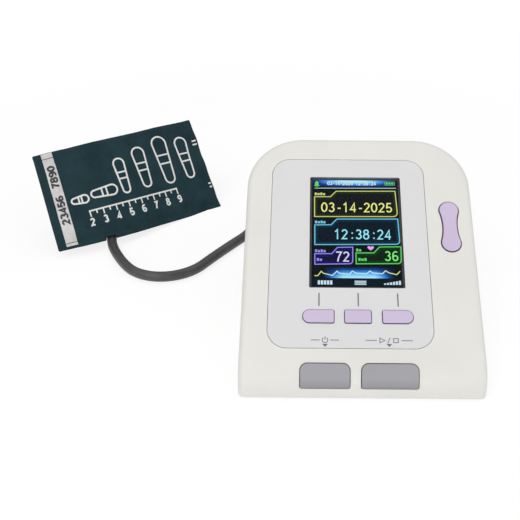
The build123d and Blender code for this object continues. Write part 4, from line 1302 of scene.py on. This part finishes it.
@dataclass
class AirHose:
    """The hose from the rear plug to the cuff's port, on the points of its route."""

    radius_mm: float = 2.9
    length_m: float = 0.2372
    route_mm: tuple[Point3, ...] = (
        (-16.2, 80.2, 26.0),
        (-16.2, 93.8, 26.0),
        (-20.3, 105.9, 20.4),
        (-29.5, 112.8, 13.1),
        (-41.6, 113.0, 6.6),
        (-53.0, 106.4, 2.9),
        (-60.6, 95.0, 2.9),
        (-61.4, 80.4, 2.9),
        (-71.9, 65.2, 2.9),
        (-82.7, 48.3, 2.9),
        (-88.5, 38.2, 2.9),
        (-97.9, 31.4, 2.9),
        (-109.4, 29.3, 2.9),
        (-120.6, 32.5, 2.9),
        (-129.3, 40.2, 2.9),
        (-140.1, 57.4, 2.9),
    )
    port_along: float = 31.85
    port_reach: Point2 = (-9.7, 3.3)
    port_level: float = 3.3
    exit_mm: Point3 = (-16.2, 66.2, 26.0)

    def build(self) -> None:
        """Makes the hose as one smooth spline."""
        points = [unit_point(*place) for place in self.route_mm]
        inwards = Vector((-math.sin(PORT_WAY), math.cos(PORT_WAY), 0)) * MM
        mouth = cuff_point(self.port_along, 0, self.port_level)
        points += [mouth + inwards * reach for reach in self.port_reach]
        curve = bpy.data.curves.new("air_hose_line", "CURVE")
        curve.dimensions = "3D"
        curve.bevel_depth = self.radius_mm * MM
        curve.bevel_resolution = 6
        curve.resolution_u = 10
        curve.use_fill_caps = True
        spline = curve.splines.new("NURBS")
        spline.points.add(len(points) - 1)
        for control, point in zip(spline.points, points):
            control.co = (*point, 1.0)
        spline.order_u = 3
        spline.use_endpoint_u = True
        curve.materials.append(Finish.HOSE.material())
        hose = new_object("air_hose_rubber", curve)
        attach(hose, "cuff")
        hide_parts("air_hose")
        log.info("air_hose_rubber: %d route points", len(points))


@dataclass
class CuffCloth:
    """The cloth of the cuff: the standing loop, the front flap with its fold, tapes and prints."""

    length: float = 105.0
    height: float = 59.4
    fold_start: float = 103.0
    fold_radius: float = 2.0
    wrap: float = 6.5
    tuck: float = 0.9
    tuck_run: float = 4.0
    thickness: float = 1.6
    cell: float = 1.2
    seam_edge: float = 3.6
    loop_left: float = 12.0
    loop_right: float = 103.0
    loop_height: float = 45.0
    loop_back: Point2 = (40.0, 39.5)
    layer_gap: float = 3.3
    loop_wall: float = 2.3
    mouth_foot: Point2 = (27.6, 34.5)
    mouth_head: Point2 = (28.3, 34.1)
    mouth_height: float = 2.3
    mouth_corner: float = 1.1
    corner_shift: tuple[Point2, ...] = ((-1.1, 0.0), (2.3, 0.4), (0.3, 1.1), (1.3, -0.9))
    rise_way: Vector = field(default_factory=lambda: Vector((-0.253, -0.053, 0.966)))
    rise_most: float = 14.6
    foot_way: Vector = field(default_factory=lambda: Vector((0.0, -0.546, 0.838)))
    foot_most: float = 1.8
    loop_levels: int = 26
    loop_clear: float = 0.05
    flap_clear: float = 0.06
    bend_span: Point2 = (103.2, 98.6)
    tape_span: Point2 = (5.0, 11.6)
    patch_rise: Point2 = (12.0, 48.0)
    patch_thickness: float = 0.45
    hook_lift: float = 2.15
    stitch_step: float = 2.55
    flap_puff: Point2 = (0.35, 0.9)
    loop_puff: Point2 = (0.4, 1.4)
    flap_rounding: float = 0.45
    loop_rounding: float = 0.6
    tape_ends: Point2 = (1.8, 0.3)
    tape_lift: float = 0.04
    tape_thickness: float = 0.24
    tape_ink_lift: float = 0.33
    print_lift: float = 0.07
    surface: BVHTree | None = None
    scale_line: Point4 = (22.6, 18.8, 57.0, 0.95)
    scale_start: Point2 = (23.1, 18.4)
    scale_figures: Point2 = (22.0, 10.2)
    scale_pitch: float = 4.0
    scale_ticks: int = 15
    tick_heights: Point2 = (3.0, 1.8)
    edge_marks: tuple[Point2, ...] = ((101.6, 14.0), (100.0, 43.0))
    lying_limbs: tuple[Point4, ...] = (
        (14.6, 26.6, 10.2, 4.8),
        (26.8, 27.9, 16.0, 6.2),
    )
    limbs: tuple[Point4, ...] = (
        (48.4, 23.8, 21.8, 6.6),
        (62.2, 24.2, 25.4, 7.8),
        (77.6, 23.0, 30.2, 9.2),
        (91.8, 23.0, 26.6, 7.6),
    )

    def build(self) -> None:
        """Makes the whole cuff."""
        self.loop()
        self.flap()
        self.tape()
        self.prints()
        self.patches()
        self.stitches()

    def pillow(self, along: float, up: float) -> float:
        """Height of the cloth's surface over its flat plane, in mm.

        Args:
            along: Place along the flap.
            up: Place up the flap.

        Returns:
            The height, negative where a seam pulls the cloth in.
        """
        edge = min(up, self.height - up, along + 0.5)
        rim = min(1.0, edge / 1.2)
        seam = math.exp(-(((edge - self.seam_edge) / 0.6) ** 2))
        ripple = noise.noise(Vector((along * 0.045, up * 0.06, 3.1)))
        pucker = noise.noise(Vector((along * 0.3, up * 0.08, 7.7))) * math.exp(-(((edge - 1.5) / 4.0) ** 2))
        fade = min(1.0, max(0.0, (self.length - 2 - along) / 8))
        return (-0.25 * (1 - rim) - 0.3 * seam + 0.45 * ripple + 0.4 * pucker) * fade - 0.3

    def stretch(self, along: float, up: float) -> Point2:
        """Place on the flap's plane after the cloth's own skew and its wavy edges.

        Args:
            along: Place along the flap as it was cut.
            up: Place up the flap as it was cut.

        Returns:
            Place along and up the flap as it stands.
        """
        across, rise = min(1.0, max(0.0, along / self.length)), up / self.height
        shares = ((1 - across) * (1 - rise), across * (1 - rise), across * rise, (1 - across) * rise)
        pairs = list(zip(shares, self.corner_shift))
        shift = [sum(share * corner[axis] for share, corner in pairs) for axis in (0, 1)]
        top_wave = noise.noise(Vector((along * 0.055, 0.0, 5.5))) * 0.3 * rise**3
        side_wave = noise.noise(Vector((0.0, up * 0.11, 9.5))) * 0.8 * across**6
        sag = -1.9 * math.sin(math.pi * min(1.0, across * 1.05)) * (1 - rise) ** 3
        drift = self.drift(along, up)
        return (along + shift[0] + side_wave + drift.x, up + shift[1] + top_wave + sag + drift.y)

    def drift(self, along: float, up: float) -> Vector:
        """How far the flap stands off its plane.

        Args:
            along: Place along the flap.
            up: Place up the flap.

        Returns:
            The shift along, up and out in mm: its loose end lies over the hose, and its
            foot spreads a little near the fold.
        """
        share = min(1.0, max(0.0, (self.length - 8 - along) / (self.length - 40)))
        smooth = share * share * (3 - 2 * share)
        left = 1.0 - 0.35 * min(1.0, max(0.0, (22 - along) / 22)) ** 2
        off = self.rise_most * smooth * left * (1 - 0.72 * up / self.height)
        near = min(1.0, max(0.0, (along - 58) / 34))
        foot = self.foot_most * near * near * (3 - 2 * near) * max(0.0, 1 - up / self.height) ** 2
        return self.rise_way * off + self.foot_way * foot

    def grid(self, points: Sequence[Point2], cell: float) -> Mesh:
        """A flat outline cut into cells.

        Args:
            points: Corners of the outline, against the clock.
            cell: Size of a cell in mm.

        Returns:
            The cut outline.
        """
        mesh = bmesh.new()
        outline_face(mesh, points)
        self.cut(mesh, cell)
        return mesh

    def cut(self, mesh: Mesh, cell: float) -> None:
        """Cuts flat faces along a square net.

        Args:
            mesh: The flat faces.
            cell: Size of a cell in mm.
        """
        for axis in (0, 1):
            low = min(vert.co[axis] for vert in mesh.verts)
            high = max(vert.co[axis] for vert in mesh.verts)
            for step in range(math.floor(low / cell) + 1, math.ceil(high / cell)):
                middle, normal = Vector((0, 0, 0)), Vector((0, 0, 0))
                middle[axis] = step * cell
                normal[axis] = 1
                geom = mesh.verts[:] + mesh.edges[:] + mesh.faces[:]
                bmesh.ops.bisect_plane(mesh, geom=geom, plane_co=middle, plane_no=normal, dist=1e-5)

    def flap_outline(self) -> list[Point2]:
        """Outline of the flap laid flat, with the mouth for the hose and the turn round the fold.

        Returns:
            The corners, against the clock.
        """
        right = self.fold_start + self.fold_radius * math.pi / 2 + self.wrap
        round_by = self.mouth_corner
        head = self.mouth_height - round_by
        mouth = [(self.mouth_foot[0], 0.1)]
        mouth += bow((self.mouth_head[0] + round_by, head), (round_by, round_by), 180, 90, 5)
        mouth += bow((self.mouth_head[1] - round_by, head), (round_by, round_by), 90, 0, 5)
        mouth += [(self.mouth_foot[1], 0.1)]
        outline = [(0.6, 0.1), *mouth, (right, 0.1), (right, self.height)]
        return outline + [(0.6, self.height), (0.15, self.height - 0.2), (0.0, self.height - 0.6), (0.0, 0.7)]

    def fold(self, along: float, lift: float) -> Point2:
        """Place of a point of the flap after the turn round the fold.

        Args:
            along: Place along the flap laid flat.
            lift: Height over the cloth's plane.

        Returns:
            Place along the cuff, and depth below its front plane.
        """
        if along <= self.fold_start:
            return (along, -lift)
        angle = min(math.pi / 2, (along - self.fold_start) / self.fold_radius)
        reach = self.fold_radius + lift
        past = max(0.0, along - self.fold_start - self.fold_radius * math.pi / 2)
        share = min(1.0, past / self.tuck_run)
        return (
            self.fold_start + reach * math.sin(angle) - self.tuck * share * share * (3 - 2 * share),
            self.fold_radius - reach * math.cos(angle) + past,
        )

    def flap(self) -> None:
        """Front flap, one sheet with the fold at its right, bent where it peels open."""
        mesh = self.grid(self.flap_outline(), self.cell)
        map_uv(mesh)
        for vert in mesh.verts:
            vert.co.z = self.pillow(vert.co.x, vert.co.y)
        swell(mesh, self.held, *self.flap_puff)
        for vert in mesh.verts:
            near, depth = self.fold(vert.co.x, vert.co.z)
            vert.co = (*self.stretch(near, vert.co.y), self.drift(near, vert.co.y).z - depth)
        mesh.normal_update()
        self.surface = BVHTree.FromBMesh(mesh)
        bmesh.ops.solidify(mesh, geom=mesh.faces[:], thickness=self.thickness)
        for vert in mesh.verts:
            level = vert.co.y * math.cos(CUFF_LEAN) + vert.co.z * math.sin(CUFF_LEAN)
            vert.co.y += max(0.0, self.flap_clear - level) / math.cos(CUFF_LEAN)
        face_out(mesh)
        piece = add_piece("cuff_flap_cloth", mesh, Finish.CLOTH, "", on_flap(), smooth=True)
        round_edges(piece, self.flap_rounding)
        self.bend(piece)
        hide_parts("cuff_flap")

    def bend(self, piece: bpy.types.Object) -> None:
        """Bakes the place of a piece of the flap into its mesh."""
        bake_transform(piece)

    def by_mouth(self, along: float, reach: float) -> bool:
        """Whether a place along the flap is within reach of the mouth for the hose."""
        return self.mouth_foot[0] - reach < along < self.mouth_head[1] + reach

    def held(self, place: Vector) -> bool:
        """Whether a place of the flat flap is held by a seam, the fold or the mouth.

        Args:
            place: The place, in mm.

        Returns:
            Whether it is held.
        """
        edge = min(place.y, self.height - place.y, place.x)
        near_mouth = self.by_mouth(place.x, 2) and place.y < self.mouth_height + 2
        return edge < self.seam_edge + 0.6 or place.x > self.fold_start - 3 or near_mouth

    def loop_ring(self, z: float, puff: float) -> list[Point2]:
        """Outline of the loop at a height: places along and back.

        Args:
            z: Height over the table.
            puff: How far the walls stand out.

        Returns:
            The corners, against the clock seen from above.
        """
        share = z / self.loop_height
        near = self.layer_gap / math.cos(CUFF_LEAN) + z * math.tan(CUFF_LEAN)
        far = self.loop_back[0] + (self.loop_back[1] - self.loop_back[0]) * share + puff
        back_radius = min((17.0 + (2.8 - 17.0) * share), (far - near) * 0.47)
        front_radius = min(4.0, (far - near) * 0.45)
        corners = (
            (self.loop_left - puff * 0.4, near, front_radius, math.pi),
            (self.loop_right + puff * 0.3, near, min(1.6, front_radius), -math.pi / 2),
            (self.loop_right + puff * 0.3, far, back_radius, 0.0),
            (self.loop_left - puff * 0.4, far, back_radius, math.pi / 2),
        )
        ring = []
        ways = ((1, 1), (-1, 1), (-1, -1), (1, -1))
        for (x, y, radius, start), (way_x, way_y) in zip(corners, ways):
            middle = (x + way_x * radius, y + way_y * radius)
            for step in range(9):
                angle = start + math.pi / 2 * step / 8
                ring.append((middle[0] + radius * math.cos(angle), middle[1] + radius * math.sin(angle)))
        return ring

    def loop(self) -> None:
        """Standing loop with its bladder, as a closed band of even wall."""
        mesh = bmesh.new()
        below: list[bmesh.types.BMEdge] = []
        for level in range(self.loop_levels + 1):
            share = level / self.loop_levels
            z = self.loop_height * share
            edge = min(z, self.loop_height - z)
            seam = 0.35 * math.exp(-(((edge - 3.0) / 0.8) ** 2))
            ring_points = self.loop_ring(z, 0.9 * math.sin(math.pi * share) - seam)
            verts = [mesh.verts.new((x, y, z)) for x, y in ring_points]
            edges = [mesh.edges.new(pair) for pair in zip(verts, verts[1:] + verts[:1])]
            if below:
                bmesh.ops.bridge_loops(mesh, edges=below + edges)
            below = edges
        self.finish_loop(mesh)

    def finish_loop(self, mesh: Mesh) -> None:
        """Cuts the band finer, lets it swell, places it and gives it a wall.

        Args:
            mesh: The band, which is used up.
        """
        long_edges = [edge for edge in mesh.edges if edge.calc_length() > 3.0]
        bmesh.ops.subdivide_edges(mesh, edges=long_edges, cuts=12, use_grid_fill=True)
        face_out(mesh)
        mesh.normal_update()
        map_uv(mesh, self.round_loop)
        moves = []
        for vert in mesh.verts:
            wave = noise.noise(Vector((vert.co.x * 0.07, vert.co.y * 0.07, vert.co.z * 0.06)))
            calm = 0.15 if vert.normal.y < -0.3 else 1.0
            moves.append(vert.normal * wave * 0.9 * calm)
        for vert, move in zip(mesh.verts, moves):
            vert.co += move
        swell(mesh, self.loop_held, *self.loop_puff)
        for vert in mesh.verts:
            vert.co = cuff_point(vert.co.x, vert.co.y, max(0.15, vert.co.z))
        mesh.normal_update()
        bmesh.ops.solidify(mesh, geom=mesh.faces[:], thickness=self.loop_wall * MM)
        for vert in mesh.verts:
            vert.co.z = max(vert.co.z, self.loop_clear * MM)
        face_out(mesh)
        piece = add_piece("cuff_loop_cloth", mesh, Finish.CLOTH, "cuff", smooth=True)
        round_edges(piece, self.loop_rounding)
        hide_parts("cuff_loop")

    def round_loop(self, corner: bmesh.types.BMLoop) -> Point2:
        """Place of a face's corner on the cloth of the loop."""
        normal, place = corner.face.normal, corner.vert.co
        return (place.x if abs(normal.y) > abs(normal.x) else place.y, place.z)

    def loop_held(self, place: Vector) -> bool:
        """Whether a place of the loop is held: its sewn rims and the wall under the flap."""
        near = self.layer_gap / math.cos(CUFF_LEAN) + place.z * math.tan(CUFF_LEAN)
        return min(place.z, self.loop_height - place.z) < 3.6 or place.y < near + 1.5

    def on_cloth(self, along: float, up: float) -> Vector:
        """Place on the flap's finished surface.

        Args:
            along: Place along the flap as it was cut.
            up: Place up the flap as it was cut.

        Returns:
            The place on the flap's plane and the height over it.
        """
        near, rise = self.stretch(along, up)
        hit = self.surface.ray_cast(Vector((near, rise, 20.0)), Vector((0, 0, -1)))[0]
        return Vector((near, rise, hit.z if hit else -0.3))

    def lay(self, mesh: Mesh, lift: float) -> None:
        """Lays a flat drawing on the flap's cloth, a little over its surface.

        Args:
            mesh: The drawing.
            lift: Height over the surface, in mm.
        """
        self.cut(mesh, self.cell)
        for vert in mesh.verts:
            place = self.on_cloth(vert.co.x, vert.co.y)
            vert.co = (place.x, place.y, place.z + lift)

    def tape(self) -> None:
        """White tape down the left end of the flap, with plain numbers and a sewn line near each end."""
        left, right = self.tape_span
        mesh = bmesh.new()
        block(mesh, left, self.tape_ends[0], right, self.height - self.tape_ends[1])
        self.cut(mesh, self.cell)
        map_uv(mesh)
        self.lay(mesh, self.tape_lift)
        raise_faces(mesh, self.tape_thickness)
        piece = add_piece("index_tape", mesh, Finish.TAPE, "cuff_flap", on_flap())
        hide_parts("index_strip")
        figures = bmesh.new()
        Figures(gap=0.85).draw(figures, "23456 7890", 0.0, 0.0, 4.1, 1.05)
        upwards = Matrix.Translation((10.4, 14.6, 0)) @ Matrix.Rotation(math.radians(90), 4, "Z")
        figures.transform(upwards @ Matrix.Diagonal((1.3, 1.0, 1.0, 1.0)))
        seams = bmesh.new()
        for up in (self.seam_edge, self.height - self.seam_edge):
            ribbon(seams, ((left, up), (right, up)), 0.34)
        for name, mesh in (("index_figures", figures), ("index_seams", seams)):
            face_out(mesh)
            self.lay(mesh, self.tape_ink_lift)
            add_piece(name, mesh, Finish.DARK_INK, "cuff_flap", on_flap())

    def bar(self, mesh: Mesh, left: float, up: float, length: float, width: float) -> None:
        """One short printed bar along the flap."""
        block(mesh, left, up - width / 2, left + length, up + width / 2)

    def prints(self) -> None:
        """Row of outlined limbs of growing size, each with a band, over a plain measuring scale."""
        mesh = bmesh.new()
        for foot, up, tall, wide in self.lying_limbs:
            place = Matrix.Translation((foot, up, 0)) @ Matrix.Rotation(math.radians(-90), 4, "Z")
            self.limb(mesh, place, tall, wide)
        for middle, foot, tall, wide in self.limbs:
            self.limb(mesh, Matrix.Translation((middle, foot, 0)), tall, wide)
        self.bar(mesh, *self.scale_line)
        left, level = self.scale_start
        for step in range(self.scale_ticks):
            tall = self.tick_heights[step % 2]
            self.bar(mesh, left + step * self.scale_pitch - 0.4, level - tall / 2, 0.8, tall)
        left, level = self.scale_figures
        for step, number in enumerate(range(2, 10)):
            Figures().draw(mesh, str(number), left + step * 2 * self.scale_pitch, level, 4.2, 1.0)
        for left, up in self.edge_marks:
            self.bar(mesh, left, up, 3.2, 1.0)
            self.bar(mesh, left, up + 2.4, 3.2, 1.0)
        face_out(mesh)
        self.lay(mesh, self.print_lift)
        self.bend(add_piece("cuff_prints", mesh, Finish.WHITE_INK, "", on_flap()))

    def limb(self, mesh: Mesh, place: Matrix, tall: float, wide: float) -> None:
        """Outline of one limb, wider at its top, with a double band across it.

        Args:
            mesh: Takes the faces.
            place: Matrix that sets the middle of its foot and its direction.
            tall: Its height.
            wide: Its width at the top.
        """
        known = set(mesh.verts)
        top, low = wide / 2, wide * 0.34
        line = bow((0, tall - top), (top, top), 0, 180, 10)
        line += bow((0, low), (low, low), 180, 360, 10)
        ribbon(mesh, line, 1.05, closed=True)
        for share in (0.42, 0.6):
            half = low + (top - low) * share - 0.3
            self.bar(mesh, -half, tall * share, 2 * half, 1.0)
        added = [vert for vert in mesh.verts if vert not in known]
        bmesh.ops.transform(mesh, matrix=place, verts=added)

    def patches(self) -> None:
        """Hook tape on the back of the flap and loop tape on the front of the loop."""
        for name, span, depth, body, node in (
            ("hook_tape", (18.0, 40.0), 2.5, "cuff_flap", "hook_patch"),
            ("loop_tape", (18.0, 70.0), 2.8, "cuff", "loop_patch"),
        ):
            low, high = self.patch_rise
            mesh = self.grid(((span[0], low), (span[1], low), (span[1], high), (span[0], high)), 1.3)
            map_uv(mesh)
            for vert in mesh.verts:
                x, y = vert.co.xy
                vert.co.z = 0.1 * noise.noise(Vector((x * 0.9, y * 0.9, 1.0)))
                if body == "cuff_flap":
                    place = self.on_cloth(x, y)
                    vert.co = (place.x, place.y, vert.co.z + place.z - self.thickness + self.hook_lift)
            raise_faces(mesh, self.patch_thickness)
            if body == "cuff":
                bmesh.ops.translate(mesh, verts=mesh.verts[:], vec=(0, 0, -self.patch_thickness))
            piece = add_piece(name, mesh, Finish.NAP, body, on_flap(0, 0, depth))
            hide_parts(node)

    def stitches(self) -> None:
        """Sewn lines along the edges of the flap."""
        mesh = bmesh.new()
        for up in (self.seam_edge, self.height - self.seam_edge):
            for step in range(39):
                along = 2.4 + step * self.stitch_step
                if up > 10 or not self.by_mouth(along, 1.2):
                    self.stitch(mesh, along, up, True)
        for step in range(20):
            self.stitch(mesh, 2.2, 5.6 + step * self.stitch_step, False)
        self.bend(add_piece("flap_stitches", mesh, Finish.THREAD, "", on_flap(), smooth=True))

    def stitch(self, mesh: Mesh, along: float, up: float, level: bool) -> None:
        """One stitch: a short rounded thread lying in the seam.

        Args:
            mesh: Takes the faces.
            along: Place along the flap.
            up: Place up the flap.
            level: Whether it runs along the flap, rather than up it.
        """
        over_tape = 0.28 if self.tape_span[0] < along < self.tape_span[1] else 0.0
        place = self.on_cloth(along, up)
        place.z += over_tape + 0.03
        size = (1.7, 0.36, 0.3) if level else (0.36, 1.7, 0.3)
        shape = Matrix.Translation(place) @ Matrix.Diagonal((*size, 1.0))
        bmesh.ops.create_icosphere(mesh, subdivisions=1, radius=0.5, matrix=shape)


@dataclass
class Studio:
    """Pale floor, soft lamps and the camera of the picture."""

    focal_px: float = 717.0
    image_px: float = 520.0
    centre_px: float = 312.0
    elevation: float = math.radians(31.803)
    roll: float = math.radians(0.5)
    eye_mm: Point3 = (-23.09, -305.52, 222.74)
    aim: Vector = field(default_factory=lambda: Vector((0, 0, 0.03)))
    lamps: tuple[tuple[str, Point3, float, float], ...] = (
        ("key_lamp", (-0.7, -0.9, 1.5), 1.2, 11.2),
        ("fill_lamp", (1.3, -0.7, 0.9), 1.2, 4.6),
        ("top_lamp", (0.1, 0.7, 1.6), 1.4, 5.0),
        ("front_lamp", (0.1, -1.5, 0.3), 1.0, 4.4),
    )

    def build(self) -> None:
        """Makes camera, floor, sky and lamps."""
        self.camera()
        self.floor()
        self.sky()
        for name, place, size, power in self.lamps:
            self.lamp(name, place, size, power)

    def camera(self) -> None:
        """Camera at the picture's own place and angle."""
        data = bpy.data.cameras.new("camera")
        data.sensor_width = 36.0
        data.lens = self.focal_px / self.image_px * data.sensor_width
        data.shift_x = (self.image_px / 2 - self.centre_px) / self.image_px
        data.clip_start, data.clip_end = 0.01, 30.0
        forward = Vector((0, math.cos(self.elevation), -math.sin(self.elevation)))
        level_up = Vector((0, math.sin(self.elevation), math.cos(self.elevation)))
        level_right = Vector((1, 0, 0))
        right = level_right * math.cos(self.roll) + level_up * math.sin(self.roll)
        up = level_up * math.cos(self.roll) - level_right * math.sin(self.roll)
        turned = Matrix((right, up, -forward)).transposed().to_4x4()
        camera = new_object("camera", data)
        camera.matrix_world = Matrix.Translation(unit_point(*self.eye_mm)) @ turned
        bpy.context.scene.camera = camera

    def floor(self) -> None:
        """Pale table top that keeps the object's shadow and turns white away from the object."""
        recipe = Recipe("table_top")
        rays = recipe.node("LightPath").outputs
        seen = recipe.maths("ADD", rays["Is Camera Ray"], rays["Is Glossy Ray"])
        seen = recipe.maths("ADD", seen, rays["Is Transmission Ray"])
        place = recipe.object_coords()
        white_share = recipe.spread(recipe.vectors("LENGTH", place)["Value"], 0.77, 1.0, 0.3, 1.0)
        share = recipe.maths("MULTIPLY", recipe.maths("MINIMUM", seen, 1.0), white_share)
        colour = recipe.tint(recipe.noise(place, 3.0, 2.0), (0.9, 0.9, 0.9), (0.93, 0.93, 0.93))
        matt = recipe.node("BsdfDiffuse", {"Color": colour})
        white = recipe.node("Emission", {"Color": WHITE, "Strength": 1.06})
        recipe.close(recipe.node("MixShader", {0: share, 1: matt.outputs[0], 2: white.outputs[0]}))
        mesh = bmesh.new()
        bmesh.ops.create_grid(mesh, x_segments=2, y_segments=2, size=4.0)
        data = bpy.data.meshes.new("table_top")
        mesh.to_mesh(data)
        mesh.free()
        data.materials.append(recipe.material)
        new_object("table_top", data)

    def sky(self) -> None:
        """White surroundings for the camera, softer light for the object."""
        world = bpy.data.worlds.new("studio")
        world.use_nodes = True
        nodes = NodeTree(world.node_tree)
        rays = nodes.node("LightPath").outputs
        seen = nodes.maths("MAXIMUM", rays["Is Camera Ray"], rays["Is Transmission Ray"])
        soft, white = (nodes.node("Background", {"Color": WHITE, "Strength": power}) for power in (0.42, 1.0))
        mix = nodes.node("MixShader", {0: seen, 1: soft.outputs[0], 2: white.outputs[0]})
        nodes.node("OutputWorld", {"Surface": mix.outputs[0]})
        bpy.context.scene.world = world

    def lamp(self, name: str, place: Point3, size: float, power: float) -> None:
        """One square lamp that looks at the object's middle.

        Args:
            name: Its name.
            place: Its place, in metres.
            size: Length of its side.
            power: Its power in watts.
        """
        data = bpy.data.lights.new(name, "AREA")
        data.size = size
        data.energy = power
        lamp = new_object(name, data)
        lamp.location = place
        lamp.rotation_euler = (self.aim - Vector(place)).to_track_quat("-Z", "Y").to_euler()


def main() -> None:
    """Loads the frame and builds everything in order."""
    logging.basicConfig(level=logging.INFO, format="%(message)s")
    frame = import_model()
    bpy.context.scene.view_settings.view_transform = "Standard"
    Studio().build()
    AirHose().build()
    Housing().dress(frame["nodes"])
    ScreenPicture().build()
    FacePrints().build()
    CuffCloth().build()


if __name__ == "__main__":
    main()
